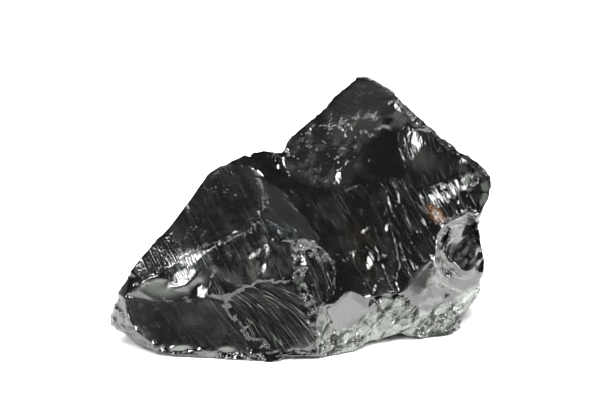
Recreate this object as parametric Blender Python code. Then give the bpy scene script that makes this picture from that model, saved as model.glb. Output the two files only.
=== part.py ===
"""A hand-sized lump of anthracite coal, as it broke: one solid with flat faces and conchoidal hollows.

The lump starts as two nets of points that share one rim, which is the outline that the lump shows to the
front. The front net holds the ends of its creases, and the back net holds the side that faces away. Hollows
are then struck out of it with shallow lenses, ridges are left between long grooves, and small rough stones
take chips from its crumbled places. Units are metres, +Z is up, the front is -Y, and the origin is under the
middle of the lump, on the surface that it rests on.
"""

import math
import random

import bmesh
import bpy
from mathutils import Matrix, Vector
from mathutils.bvhtree import BVHTree
from mathutils.geometry import delaunay_2d_cdt

MM = 0.001

# Driving dimensions: the width that the outline spans at the depth of the front contact, and how deep and how
# high the lump is behind it.
SEEN_WIDTH = 95 * MM
LUMP_DEPTH = 62 * MM
LUMP_HEIGHT = 62 * MM

# The view in which the outline and the creases were read.
COLUMNS_ACROSS = 491 - 112
PICTURE_MIDDLE = (306, 204)
VIEW_ELEVATION = math.radians(20)
VIEW_DISTANCE = 0.70
PIXEL = SEEN_WIDTH / COLUMNS_ACROSS

# The lump touches the ground in front at this picture point, and depths are counted from there.
FRONT_CONTACT = (271, 363)

# The outline in the view, clockwise: column, row and millimetres behind the front contact.
LEFT_END = [(112, 317, 15.5), (114, 306, 16), (118, 298, 15.5), (117, 293, 15.5)]
LEFT_SHOULDER = [(121, 287, 15), (129, 277, 15), (130, 271, 15.5), (134, 266, 15.5)]
LEFT_EDGE = [(141, 257, 16), (170, 226, 20), (190, 199, 23.5), (201, 183, 26)]
LEFT_TOP = [
    (210, 172, 27.5), (220, 166, 28), (225, 165, 28), (231, 161, 28.5), (238, 158, 29), (244, 156, 29.5),
    (250, 157, 30), (255, 153, 31), (262, 152, 31.5), (281, 152, 31),
]
PEAK_LEFT = [
    (284, 149, 31), (286, 144, 31.5), (291, 137, 32.5), (301, 128, 34), (312, 119, 36), (324, 110, 37.5),
    (328, 104, 38), (333, 97, 38.5), (348, 85, 40), (354, 80, 40.5),
]
PEAK = [(355, 77, 41), (362, 76, 41), (370, 77, 41), (376, 80, 41)]
PEAK_RIGHT = [
    (392, 90, 41), (408, 107, 41.5), (430, 127, 41.5), (447, 141, 41), (458, 150, 41), (468, 156, 41),
    (478, 162, 41), (484, 168, 41.5),
]
RIGHT_END = [
    (490, 174, 42), (491, 178, 42), (490, 195, 41), (489, 199, 40.5), (484, 208, 38.5), (481, 216, 37),
]
SHELL_EDGE = [
    (477, 225, 36), (479, 235, 37), (482, 247, 37.5), (485, 262, 38), (484, 275, 37), (480, 282, 35.5),
]
RIGHT_FOOT = [
    (481, 290, 34), (477, 298, 32.5), (468, 309, 31), (462, 314, 28.6), (463, 322, 25.8), (460, 329, 21.2),
    (452, 334, 17.6), (440, 336, 16.4), (420, 338, 15), (408, 336, 16.5), (400, 333, 17.5),
]
FRONT_FOOT = [
    (385, 338, 14.6), (370, 341, 12.8), (360, 348, 9), (352, 352, 7), (340, 354, 5.5), (325, 357, 3.8),
    (300, 356, 3.2), (285, 356, 2.8), (278, 361, 1), (271, 363, 0), (260, 361, 1), (235, 360, 1.8),
    (200, 357, 3.6), (180, 356, 4.2), (165, 354, 5.2), (155, 352, 6.6), (145, 347, 9.5), (130, 338, 12.5),
    (120, 331, 14), (113, 323, 15),
]
OUTLINE = (
    LEFT_END + LEFT_SHOULDER + LEFT_EDGE + LEFT_TOP + PEAK_LEFT + PEAK + PEAK_RIGHT + RIGHT_END
    + SHELL_EDGE + RIGHT_FOOT + FRONT_FOOT
)

# Lines of points on the front, each along a crease, in the same terms as the outline.
CREASES = {
    "rim over the left foot": [
        (126, 300, 10.4), (128, 317, 8.6), (136, 331, 7), (152, 344, 5.2), (175, 350, 3.9), (205, 353, 2.7),
        (240, 355, 1.5), (272, 357, 0.5), (300, 351, 0.8), (318, 340, 1.6),
    ],
    "break between the left faces": [
        (150, 276, 12.4), (172, 278, 11.4), (192, 266, 12), (212, 246, 13.2), (240, 244, 12.8),
        (268, 240, 12.4), (297, 240, 12),
    ],
    "crest": [(297, 240, 12), (295, 262, 9.6), (300, 287, 7), (316, 310, 4.2), (318, 340, 1.6)],
    "groove beside the band": [(238, 171, 25.6), (254, 195, 20.6), (261, 224, 15.4)],
    "left side of the band": [(243, 168, 24.8), (259, 193, 19.4), (267, 221, 14.4), (290, 236, 13.8)],
    "spine": [
        (256, 172, 24), (278, 193, 20.6), (300, 215, 17.2), (320, 238, 14.8), (345, 265, 12.5),
        (372, 290, 10.3),
    ],
    "ledge behind the spine": [(243, 163, 28.4), (262, 165, 28.2), (278, 170, 27.5), (290, 180, 23.6)],
    "crumbled ledge": [(290, 180, 23.6), (303, 165, 27), (335, 178, 26.2)],
    "foot of the peak": [(330, 113, 37), (350, 114, 37.6), (372, 119, 38), (394, 118, 39)],
    "band under the right slope": [
        (385, 97, 40.4), (400, 116, 40), (425, 136, 40), (450, 152, 39.6), (470, 163, 38.8),
    ],
    "corner of the right end": [(470, 163, 38.8), (471, 182, 35.9), (467, 200, 33), (470, 213, 31)],
    "top of the shell": [(443, 226, 26.4), (470, 213, 31)],
    "left side of the shell": [
        (443, 226, 26.4), (437, 240, 23.7), (434, 262, 19.9), (441, 280, 21.2), (450, 297, 24.6),
    ],
    "foot of the shell": [(450, 297, 24.6), (466, 292, 30)],
    "lip of the middle face": [
        (335, 300, 7.2), (350, 286, 9.3), (365, 298, 8.4), (382, 297, 9.9), (396, 296, 11.3),
        (411, 285, 14.4), (429, 261, 19.2),
    ],
    "pale plate": [(337, 308, 7.4), (353, 292, 8.8), (368, 310, 10.3), (357, 322, 9.9), (338, 331, 8.5)],
    "wedge": [(322, 309, 5.9), (331, 319, 7.6), (336, 345, 6.6)],
    "lens": [(429, 261, 19.2), (430, 290, 18.8), (418, 308, 17.4), (392, 313, 13.8), (396, 296, 11.3)],
    "shelf": [(350, 338, 8.8), (372, 318, 12.4), (386, 304, 12.4)],
    "low shelf": [(372, 318, 12.4), (389, 320, 14.8), (402, 321, 16.2)],
    "boulders": [(420, 318, 17.2), (440, 310, 20.8), (452, 314, 25.5)],
    "low boulder": [(436, 326, 18.4), (420, 330, 16.6)],
}
FRONT_SPOTS = [
    (359, 80, 40.6), (369, 84, 40.3), (330, 150, 31.4), (355, 135, 35.2), (360, 160, 31.2), (462, 255, 31.5),
    (190, 230, 17.6),
]

# The side that faces away, and the flat that the lump rests on: millimetres from the front contact's column.
BACK_POINTS = [
    (-44, 26, 8), (-38, 32, 17), (-37, 36, 4), (-27, 43, 27), (-24, 47, 9), (-12, 42, 38), (-15, 50, 21),
    (0, 52, 40), (4, 60, 22), (0, 58, 6), (14, 50, 51), (22, 56, 38), (20, 62, 20), (22, 60, 5),
    (34, 52, 36), (40, 50, 22), (36, 54, 8), (41, 46, 13),
]
REST_FACE = [(-31, 12), (-8, 4), (6, 12), (28, 27), (35, 36), (22, 49), (-8, 48), (-29, 31)]

# A line of the back straight across between rim points is set back in its middle by this share of its length,
# but no lower than its ends.
CHORD_DEPTH = 0.3

# Where hollows were struck out: the spot seen, then length, width and depth in millimetres, and the turn of
# the length in the picture in degrees.
HOLLOWS = {
    "upper left face": (212, 214, 38, 19, 0.9, 50),
    "lower left face": (184, 312, 34, 15, 0.6, -3),
    "pit under the break": (166, 290, 12, 5, 0.6, -12),
    "fan": (270, 313, 25, 16, 0.8, -30),
    "over the fan": (262, 262, 15, 9, 0.5, 12),
    "under the band": (278, 223, 11, 6, 0.7, -32),
    "scoop beside the crest": (320, 270, 17, 9, 2.8, -66),
    "middle face": (352, 224, 31, 20, 1.1, -56),
    "over the middle face": (322, 188, 15, 9, 0.6, 18),
    "under the middle face": (384, 270, 16, 11, 0.9, -40),
    "steps": (412, 218, 22, 9, 0.6, -56),
    "bowl": (431, 157, 18, 14, 2.3, -20),
    "smooth scoop": (381, 147, 11, 9, 1.3, 62),
    "peak": (363, 99, 15, 9, 0.5, 10),
    "combed place": (446, 200, 12, 8, 0.7, -50),
    "shell": (461, 254, 22, 12, 2.6, 82),
    "foot of the shell": (447, 270, 12, 5, 0.7, -68),
    "lens": (415, 287, 13, 5, 0.6, 56),
    "right end": (478, 188, 11, 5, 0.7, 78),
    "behind the spine": (266, 162, 8, 4, 0.6, 10),
    "crumbled slope": (318, 142, 13, 8, 0.6, 30),
}

# The same on the side that faces away. A spot there is given by the azimuth and elevation that the lump is
# looked at from, then millimetres across and up from its middle; azimuth 0 is the front and 90 the right.
FAR_HOLLOWS = {
    "back, under the peak": (176, 8, -15, -2, 27, 18, 1.6, 64),
    "back, low in the middle": (180, 4, 2, -14, 25, 12, 1.2, 5),
    "back, middle": (178, 20, -3, 9, 15, 10, 1, 62),
    "back, left": (-152, 16, 10, -8, 15, 9, 0.8, 30),
    "back, left shoulder": (-150, 25, 22, 0, 15, 9, 0.8, -48),
    "back, far left": (-150, 12, 30, -16, 14, 8, 0.7, -30),
    "right side": (112, 5, 2, -6, 18, 12, 1.3, 60),
    "left side": (-118, 10, -4, -12, 12, 8, 0.7, -20),
}

# Long grooves, which leave the ridges standing: both ends as seen, then width and depth in millimetres.
GROOVES = {
    "steps right of the middle face": [
        (382, 183, 402, 212, 1.4, 0.6), (394, 184, 428, 240, 1.6, 0.7), (404, 214, 430, 252, 1.2, 0.5),
        (398, 238, 410, 262, 1.2, 0.5), (366, 222, 396, 290, 1.3, 0.4),
    ],
    "combed place under the bowl": [
        (442, 184, 456, 204, 1.1, 0.5), (430, 204, 446, 230, 1.1, 0.5),
    ],
    "left wall of the bowl": [(397, 142, 409, 164, 1.1, 0.5)],
    "fan": [
        (312, 337, 250, 344, 1.3, 0.4), (310, 332, 234, 324, 1.5, 0.5), (308, 326, 238, 306, 1.5, 0.5),
        (306, 318, 250, 292, 1.4, 0.45), (306, 308, 266, 278, 1.3, 0.4),
    ],
    "shell": [(452, 226, 444, 262, 1.2, 0.4)],
    "scoop beside the crest": [(303, 248, 316, 288, 1.1, 0.35)],
}

# Crumbled places: the middle seen, length and width in millimetres, turn, how many chips, and their size.
CRUMBLED = {
    "below the peak": (345, 127, 17, 6, 4, 9, 1.3),
    "above the middle face": (330, 158, 15, 7, -10, 5, 1.2),
    "notch": (292, 160, 7, 10, 60, 4, 1.2),
    "right slope": (425, 126, 34, 2.4, -38, 10, 1.1),
    "crest": (297, 264, 14, 2, 84, 6, 1),
    "top of the scoop": (318, 248, 5, 3, -20, 3, 0.9),
    "under the band": (276, 212, 8, 3.5, -30, 3, 1),
    "right end": (474, 190, 10, 4, 80, 4, 1.1),
    "step beside the lens": (382, 300, 10, 2.4, 5, 3, 1),
    "front foot": (362, 332, 22, 4, 22, 7, 1.4),
    "boulders": (430, 312, 16, 7, 14, 6, 1.5),
    "left foot": (196, 354, 22, 1.6, -4, 6, 1.1),
    "left shoulder": (132, 290, 8, 2, 60, 3, 1.1),
}

# Nicks along the sharp edges all round: how many, how sharp the edge is at least, how high it lies at least,
# and the largest stone.
NICKS = 44
NICKED_EDGE = math.radians(24)
NICKS_ABOVE = 3 * MM
NICK_SIZE = 1.7

# A hollow's outline swings in and out by shares of its size, with so many lobes. Each entry of its wall is a
# height over the rim and how far the wall leans out there.
LOBES = [(2, 0.09), (3, 0.06)]
WALL = [(1.2 * MM, 0.4 * MM), (8 * MM, 3 * MM)]
HOLLOW_RINGS, HOLLOW_SEGMENTS = 4, 20
GROOVE_RINGS, GROOVE_SEGMENTS = 2, 8

# The surface's direction under a cutter is evened over this share of its width, or over so many pixels.
HOLLOW_SPREAD = 0.2
GROOVE_END_SPREAD, GROOVE_SPREAD = 2, 4

# A stone's size, roundness and stretch vary between these shares, and its middle lies off the surface by a
# share of its radius.
CHIP_SIZES, CHIP_OFF_SURFACE = (0.6, 1.3), 0.35
NICK_SIZES, NICK_OFF_SURFACE = (0.35, 1), 0.6
STONE_ROUNDNESS = (0.75, 1.25)
STONE_STRETCH = (0.6, 1.5)

SEED = 12
FLAT_ANGLE = math.radians(1.2)
CLOSE = 0.006 * MM
SAME_SPOT = 1e-7

# Jet black with a glassy lustre.
COAL_COLOUR = (0.012, 0.012, 0.0115, 1)
COAL_ROUGHNESS = 0.16
COAL_METALLIC = 0
COAL_IOR = 1.9


class View:
    """The view in which the picture points were read, as an eye and the direction it looks in."""

    def __init__(self):
        self.forward = Vector((0, math.cos(VIEW_ELEVATION), -math.sin(VIEW_ELEVATION)))
        self.upward = Vector((0, math.sin(VIEW_ELEVATION), math.cos(VIEW_ELEVATION)))
        self.right = Vector((1, 0, 0))
        low = self.ray(*FRONT_CONTACT)
        down_to_ground = VIEW_DISTANCE * math.sin(VIEW_ELEVATION)
        self.eye = Vector((0, -VIEW_DISTANCE * low.y, -VIEW_DISTANCE * low.z))
        self.target_height = self.eye.z - down_to_ground

    def ray(self, column, row):
        """The direction from the eye through a picture point, one unit deep."""
        across = (column - PICTURE_MIDDLE[0]) * PIXEL / VIEW_DISTANCE
        up = (PICTURE_MIDDLE[1] - row) * PIXEL / VIEW_DISTANCE
        return self.forward + across * self.right + up * self.upward

    def point(self, column, row, back):
        """The point seen at a picture point, the stated millimetres behind the front contact."""
        direction = self.ray(column, row)
        return self.eye + direction * ((back * MM - self.eye.y) / direction.y)

    def picture(self, point):
        """Where a point is seen, as a flat vector in units of the picture plane."""
        sight = point - self.eye
        depth = sight.dot(self.forward)
        return Vector((sight.dot(self.right) / depth, sight.dot(self.upward) / depth))


VIEW = View()


def new_object(name, mesh_data):
    """Links a bmesh to the scene as an object and frees it."""
    mesh = bpy.data.meshes.new(name)
    mesh_data.to_mesh(mesh)
    mesh_data.free()
    made = bpy.data.objects.new(name, mesh)
    bpy.context.scene.collection.objects.link(made)
    return made


def net_faces(points, rim_count, chains):
    """Triangles between points as the view sees them, which follow the rim and every chain of numbers."""
    edges = [(i, (i + 1) % rim_count) for i in range(rim_count)]
    for chain in chains:
        edges += list(zip(chain, chain[1:]))
    flat = [VIEW.picture(point) for point in points]
    placed, _, faces, origins, _, _ = delaunay_2d_cdt(flat, edges, [], 1, SAME_SPOT)
    if len(placed) != len(points):
        raise ValueError("two lines of the net cross")
    return [[origins[i][0] for i in face] for face in faces]


def thick_net(points, rim_count, chain):
    """The back's faces, after points has gained one behind every line straight across between rim points."""
    faces = net_faces(points, rim_count, [chain])
    chords = set()
    for face in faces:
        if max(face) < rim_count:
            sides = [sorted((face[i - 1], face[i])) for i in range(3)]
            chords.update((a, b) for a, b in sides if b - a not in (1, rim_count - 1))
    if not chords:
        return faces
    for a, b in sorted(chords):
        middle = (points[a] + points[b]) / 2
        behind = (middle - VIEW.eye).normalized() * (points[a] - points[b]).length * CHORD_DEPTH
        spot = middle + behind
        spot.z = max(spot.z, min(points[a].z, points[b].z))
        points.append(spot)
    return thick_net(points, rim_count, chain)


def rough_lump():
    """The solid between the front net and the back net."""
    rim = [VIEW.point(*spot) for spot in OUTLINE]
    front = list(rim)
    places = {}
    chains = []
    for line in CREASES.values():
        chain = []
        for spot in line:
            if spot not in places:
                places[spot] = len(front)
                front.append(VIEW.point(*spot))
            chain.append(places[spot])
        chains.append(chain)
    front += [VIEW.point(*spot) for spot in FRONT_SPOTS]
    middle = VIEW.point(PICTURE_MIDDLE[0], PICTURE_MIDDLE[1], 0).x
    back = rim + [Vector((middle + x * MM, y * MM, 0)) for x, y in REST_FACE]
    back += [Vector((middle + x * MM, y * MM, z * MM)) for x, y, z in BACK_POINTS]
    first = len(rim)
    rest_chain = [first + i % len(REST_FACE) for i in range(len(REST_FACE) + 1)]
    back_faces = thick_net(back, first, rest_chain)
    lump = bmesh.new()
    corners = [lump.verts.new(point) for point in front]
    for face in net_faces(front, first, chains):
        lump.faces.new([corners[i] for i in face])
    corners = corners[:first] + [lump.verts.new(point) for point in back[first:]]
    for face in back_faces:
        lump.faces.new([corners[i] for i in face])
    bmesh.ops.recalc_face_normals(lump, faces=lump.faces)
    return new_object("coal_lump", lump)


def lens_cutter(name, seat, normal, along, size, rings, segments, swings=()):
    """A cutter that strikes a hollow: a bowl whose outline swings in lobes, and a wall that flares up."""
    length, width, depth = (measure * MM for measure in size)
    side = normal.cross(along).normalized()
    place = Matrix((along, side, normal)).transposed().to_4x4()
    place.translation = seat
    profile = [(ring / rings, 0, depth * ((ring / rings) ** 2 - 1)) for ring in range(1, rings + 1)]
    profile += [(1, lean, height) for height, lean in WALL]
    cutter = bmesh.new()
    bottom = cutter.verts.new((0, 0, -depth))
    loops = []
    for share, lean, height in profile:
        loop = []
        for i in range(segments):
            angle = 2 * math.pi * i / segments
            uneven = 1
            for (lobes, swing), start in zip(LOBES, swings):
                uneven += swing * math.sin(lobes * angle + start)
            x = (share * uneven * length / 2 + lean) * math.cos(angle)
            y = (share * uneven * width / 2 + lean) * math.sin(angle)
            loop.append(cutter.verts.new((x, y, height)))
        loops.append(loop)
    for i in range(segments):
        cutter.faces.new((bottom, loops[0][(i + 1) % segments], loops[0][i]))
    for inner, outer in zip(loops, loops[1:]):
        for i in range(segments):
            k = (i + 1) % segments
            cutter.faces.new((inner[i], inner[k], outer[k], outer[i]))
    cutter.faces.new(loops[-1])
    bmesh.ops.triangulate(cutter, faces=cutter.faces)
    cutter.transform(place)
    bmesh.ops.recalc_face_normals(cutter, faces=cutter.faces)
    return new_object(name, cutter)


def rough_stone(name, seat, radius, dice):
    """A small uneven stone, which takes a chip out."""
    stone = bmesh.new()
    bmesh.ops.create_icosphere(stone, subdivisions=1, radius=radius)
    for corner in stone.verts:
        corner.co *= dice.uniform(*STONE_ROUNDNESS)
    stretch = Vector([dice.uniform(*STONE_STRETCH) for _ in range(3)])
    bmesh.ops.scale(stone, verts=stone.verts, vec=stretch)
    axis = Vector([dice.uniform(-1, 1) for _ in range(3)])
    spin = Matrix.Rotation(dice.uniform(0, 2 * math.pi), 3, axis)
    bmesh.ops.rotate(stone, verts=stone.verts, cent=(0, 0, 0), matrix=spin)
    bmesh.ops.translate(stone, verts=stone.verts, vec=seat)
    return new_object(name, stone)


def surface(lump):
    """The lump's surface as it is now, for finding where a line of sight meets it."""
    return BVHTree.FromPolygons(
        [corner.co for corner in lump.data.vertices], [face.vertices for face in lump.data.polygons]
    )


def seen_seat(tree, column, row, spread=0):
    """Where a line of sight meets the lump, and the way the surface faces, evened over a spread in pixels."""
    ways = [(0, 0), (spread, 0), (-spread, 0), (0, spread), (0, -spread)]
    hits = [tree.ray_cast(VIEW.eye, VIEW.ray(column + dx, row + dy).normalized()) for dx, dy in ways]
    normals = [hit[1] for hit in hits if hit[0] is not None]
    return hits[0][0], sum(normals, Vector()).normalized()


def far_seat(tree, azimuth, elevation, across, up, spread):
    """The same for the side that faces away, with the view's right and up directions."""
    turn, lift = math.radians(azimuth), math.radians(elevation)
    outward = Vector((math.sin(turn) * math.cos(lift), -math.cos(turn) * math.cos(lift), math.sin(lift)))
    right = Vector((math.cos(turn), math.sin(turn), 0))
    upward = outward.cross(right)
    middle = Vector((0, LUMP_DEPTH / 2, LUMP_HEIGHT / 2))
    eye = middle + outward * VIEW_DISTANCE + (across * right + up * upward) * MM
    ways = [Vector(), right * spread, -right * spread, upward * spread, -upward * spread]
    hits = [tree.ray_cast(eye + way, -outward) for way in ways]
    normals = [hit[1] for hit in hits if hit[0] is not None]
    return hits[0][0], sum(normals, Vector()).normalized(), right, upward


def along_surface(normal, turn, right, upward):
    """The direction along a surface that has the stated turn in a view."""
    angle = math.radians(turn)
    wanted = math.cos(angle) * right + math.sin(angle) * upward
    return (wanted - wanted.dot(normal) * normal).normalized()


def cut(lump, cutters):
    """Cuts every cutter out of the lump at once and removes them."""
    group = bpy.data.collections.new("cutters")
    bpy.context.scene.collection.children.link(group)
    for cutter in cutters:
        group.objects.link(cutter)
    step = lump.modifiers.new("Cut", "BOOLEAN")
    step.operation = "DIFFERENCE"
    step.operand_type = "COLLECTION"
    step.collection = group
    step.solver = "EXACT"
    step.use_self = len(cutters) > 1
    graph = bpy.context.evaluated_depsgraph_get()
    made = bpy.data.meshes.new_from_object(lump.evaluated_get(graph))
    lump.modifiers.clear()
    lump.data = made
    for cutter in cutters:
        bpy.data.objects.remove(cutter)
    bpy.data.collections.remove(group)


def strike(lump, dice, name, seat, normal, along, size):
    """Strikes one hollow."""
    swings = [dice.uniform(0, 2 * math.pi) for _ in LOBES]
    cut(lump, [lens_cutter(name, seat, normal, along, size, HOLLOW_RINGS, HOLLOW_SEGMENTS, swings)])


def strike_hollows(lump, dice):
    """Strikes the named hollows, one after another, on the front and then on the far side."""
    for name, (column, row, length, width, depth, turn) in HOLLOWS.items():
        spread = width * MM * HOLLOW_SPREAD / PIXEL
        seat, normal = seen_seat(surface(lump), column, row, spread)
        along = along_surface(normal, turn, VIEW.right, VIEW.upward)
        strike(lump, dice, name, seat, normal, along, (length, width, depth))
    for name, (azimuth, elevation, across, up, length, width, depth, turn) in FAR_HOLLOWS.items():
        spread = width * MM * HOLLOW_SPREAD
        seat, normal, right, upward = far_seat(surface(lump), azimuth, elevation, across, up, spread)
        along = along_surface(normal, turn, right, upward)
        strike(lump, dice, name, seat, normal, along, (length, width, depth))


def comb_grooves(lump):
    """Combs the long grooves into the front."""
    tree = surface(lump)
    cutters = []
    for name, lines in GROOVES.items():
        for left, top, right, bottom, width, depth in lines:
            start = seen_seat(tree, left, top, GROOVE_END_SPREAD)[0]
            end = seen_seat(tree, right, bottom, GROOVE_END_SPREAD)[0]
            seat, normal = seen_seat(tree, (left + right) / 2, (top + bottom) / 2, GROOVE_SPREAD)
            way = end - start
            along = (way - way.dot(normal) * normal).normalized()
            size = (way.length / MM, width, depth)
            cutters.append(lens_cutter(name, seat, normal, along, size, GROOVE_RINGS, GROOVE_SEGMENTS))
    cut(lump, cutters)


def scatter(dice, length, width, turn):
    """A random spot in a turned ellipse, as metres across and up from its middle."""
    share, way = math.sqrt(dice.random()), dice.uniform(0, 2 * math.pi)
    x = share * length / 2 * math.cos(way) * MM
    y = share * width / 2 * math.sin(way) * MM
    angle = math.radians(turn)
    return x * math.cos(angle) - y * math.sin(angle), x * math.sin(angle) + y * math.cos(angle)


def crumble(lump, dice):
    """Takes chips out of the crumbled places."""
    tree = surface(lump)
    seats = []
    for column, row, length, width, turn, count, size in CRUMBLED.values():
        for _ in range(count):
            across, up = scatter(dice, length, width, turn)
            seats.append((*seen_seat(tree, column + across / PIXEL, row - up / PIXEL), size))
    stones = []
    for seat, normal, size in seats:
        radius = size * dice.uniform(*CHIP_SIZES) * MM
        if seat is not None:
            stones.append(rough_stone("chip", seat + normal * radius * CHIP_OFF_SURFACE, radius, dice))
    cut(lump, stones)


def nick_edges(lump, dice):
    """Takes small chips out of the sharp edges, clear of the flat that the lump rests on."""
    shape = bmesh.new()
    shape.from_mesh(lump.data)
    sharp = []
    for edge in shape.edges:
        low = min(corner.co.z for corner in edge.verts)
        if edge.is_convex and edge.calc_face_angle(0) > NICKED_EDGE and low > NICKS_ABOVE:
            sharp.append((edge.verts[0].co.copy(), edge.verts[1].co.copy(), edge.verts[0].normal.copy()))
    shape.free()
    weights = [(end - start).length for start, end, _ in sharp]
    stones = []
    for start, end, outward in dice.choices(sharp, weights, k=NICKS):
        radius = NICK_SIZE * dice.uniform(*NICK_SIZES) * MM
        seat = start.lerp(end, dice.random()) + outward * radius * NICK_OFF_SURFACE
        stones.append(rough_stone("nick", seat, radius, dice))
    cut(lump, stones)


def clean(lump):
    """Merges what the cuts left almost together, and lets flat faces take in their slivers."""
    shape = bmesh.new()
    shape.from_mesh(lump.data)
    bmesh.ops.remove_doubles(shape, verts=shape.verts, dist=CLOSE)
    bmesh.ops.dissolve_limit(shape, angle_limit=FLAT_ANGLE, verts=shape.verts, edges=shape.edges)
    bmesh.ops.dissolve_degenerate(shape, edges=shape.edges, dist=CLOSE)
    bmesh.ops.triangulate(shape, faces=shape.faces)
    shape.to_mesh(lump.data)
    shape.free()


def middle_to_origin(lump):
    """Moves the lump in its mesh, so that the middle of its box is over the origin."""
    corners = [corner.co for corner in lump.data.vertices]
    low_x, high_x = min(corner.x for corner in corners), max(corner.x for corner in corners)
    low_y, high_y = min(corner.y for corner in corners), max(corner.y for corner in corners)
    shift = Vector((-(low_x + high_x) / 2, -(low_y + high_y) / 2, 0))
    lump.data.transform(Matrix.Translation(shift))


def coal():
    """The lump's material."""
    material = bpy.data.materials.new("anthracite")
    material.use_nodes = True
    shader = material.node_tree.nodes["Principled BSDF"]
    shader.inputs["Base Color"].default_value = COAL_COLOUR
    shader.inputs["Roughness"].default_value = COAL_ROUGHNESS
    shader.inputs["Metallic"].default_value = COAL_METALLIC
    shader.inputs["IOR"].default_value = COAL_IOR
    return material


def clear_scene():
    """Starts from an empty scene."""
    for old in list(bpy.data.objects):
        bpy.data.objects.remove(old, do_unlink=True)


def main():
    """Builds the lump."""
    clear_scene()
    dice = random.Random(SEED)
    lump = rough_lump()
    strike_hollows(lump, dice)
    comb_grooves(lump)
    crumble(lump, dice)
    nick_edges(lump, dice)
    clean(lump)
    middle_to_origin(lump)
    lump.data.materials.clear()
    lump.data.materials.append(coal())


main()
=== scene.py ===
"""Looks of a broken lump of anthracite: a fine fracture surface, a glassy black finish, a table and lights.

The lump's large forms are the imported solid's. Its copy is remeshed finely. Its front takes relief that is
laid out in the columns and rows of a fixed reading view, and its far side takes relief by rule. All measures
are metres unless a name says otherwise.
"""

import logging
import math
from dataclasses import dataclass, field, fields
from enum import Enum
from functools import cached_property

import bmesh
import bpy
import numpy as np
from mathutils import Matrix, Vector
from mathutils.bvhtree import BVHTree
from mathutils.kdtree import KDTree

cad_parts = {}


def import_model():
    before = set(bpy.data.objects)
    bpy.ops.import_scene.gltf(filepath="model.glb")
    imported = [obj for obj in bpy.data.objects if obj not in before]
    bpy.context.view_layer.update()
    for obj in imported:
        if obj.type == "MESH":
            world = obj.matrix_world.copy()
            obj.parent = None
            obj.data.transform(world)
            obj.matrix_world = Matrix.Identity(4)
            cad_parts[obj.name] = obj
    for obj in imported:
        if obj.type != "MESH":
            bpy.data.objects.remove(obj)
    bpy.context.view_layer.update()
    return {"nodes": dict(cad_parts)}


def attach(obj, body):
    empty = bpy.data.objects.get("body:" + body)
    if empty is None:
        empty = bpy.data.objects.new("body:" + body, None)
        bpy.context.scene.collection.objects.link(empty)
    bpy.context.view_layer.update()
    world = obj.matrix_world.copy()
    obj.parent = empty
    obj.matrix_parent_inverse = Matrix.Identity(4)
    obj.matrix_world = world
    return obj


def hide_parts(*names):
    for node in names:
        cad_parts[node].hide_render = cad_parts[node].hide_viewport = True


log = logging.getLogger("coal")

MM = 0.001
Points = np.ndarray
Grid = np.ndarray
Window = tuple[float, float, float, float]
Colour = tuple[float, float, float, float]
Socket = bpy.types.NodeSocket


def direction(azimuth: float, elevation: float) -> np.ndarray:
    """Gives the way from the lump towards a place around it.

    Args:
        azimuth: Degrees from the front (-Y), positive to the right.
        elevation: Degrees above the table.

    Returns:
        A unit vector.
    """
    turn, lift = math.radians(azimuth), math.radians(elevation)
    level = math.cos(lift)
    return np.array((math.sin(turn) * level, -math.cos(turn) * level, math.sin(lift)))


def ease(values: np.ndarray, low: float, high: float) -> np.ndarray:
    """Rises smoothly from 0 at low to 1 at high.

    Args:
        values: Numbers of any shape.
        low: Where the rise starts.
        high: Where it ends.

    Returns:
        Shares from 0 to 1.
    """
    share = np.clip((values - low) / (high - low), 0, 1)
    return share * share * (3 - 2 * share)


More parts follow.
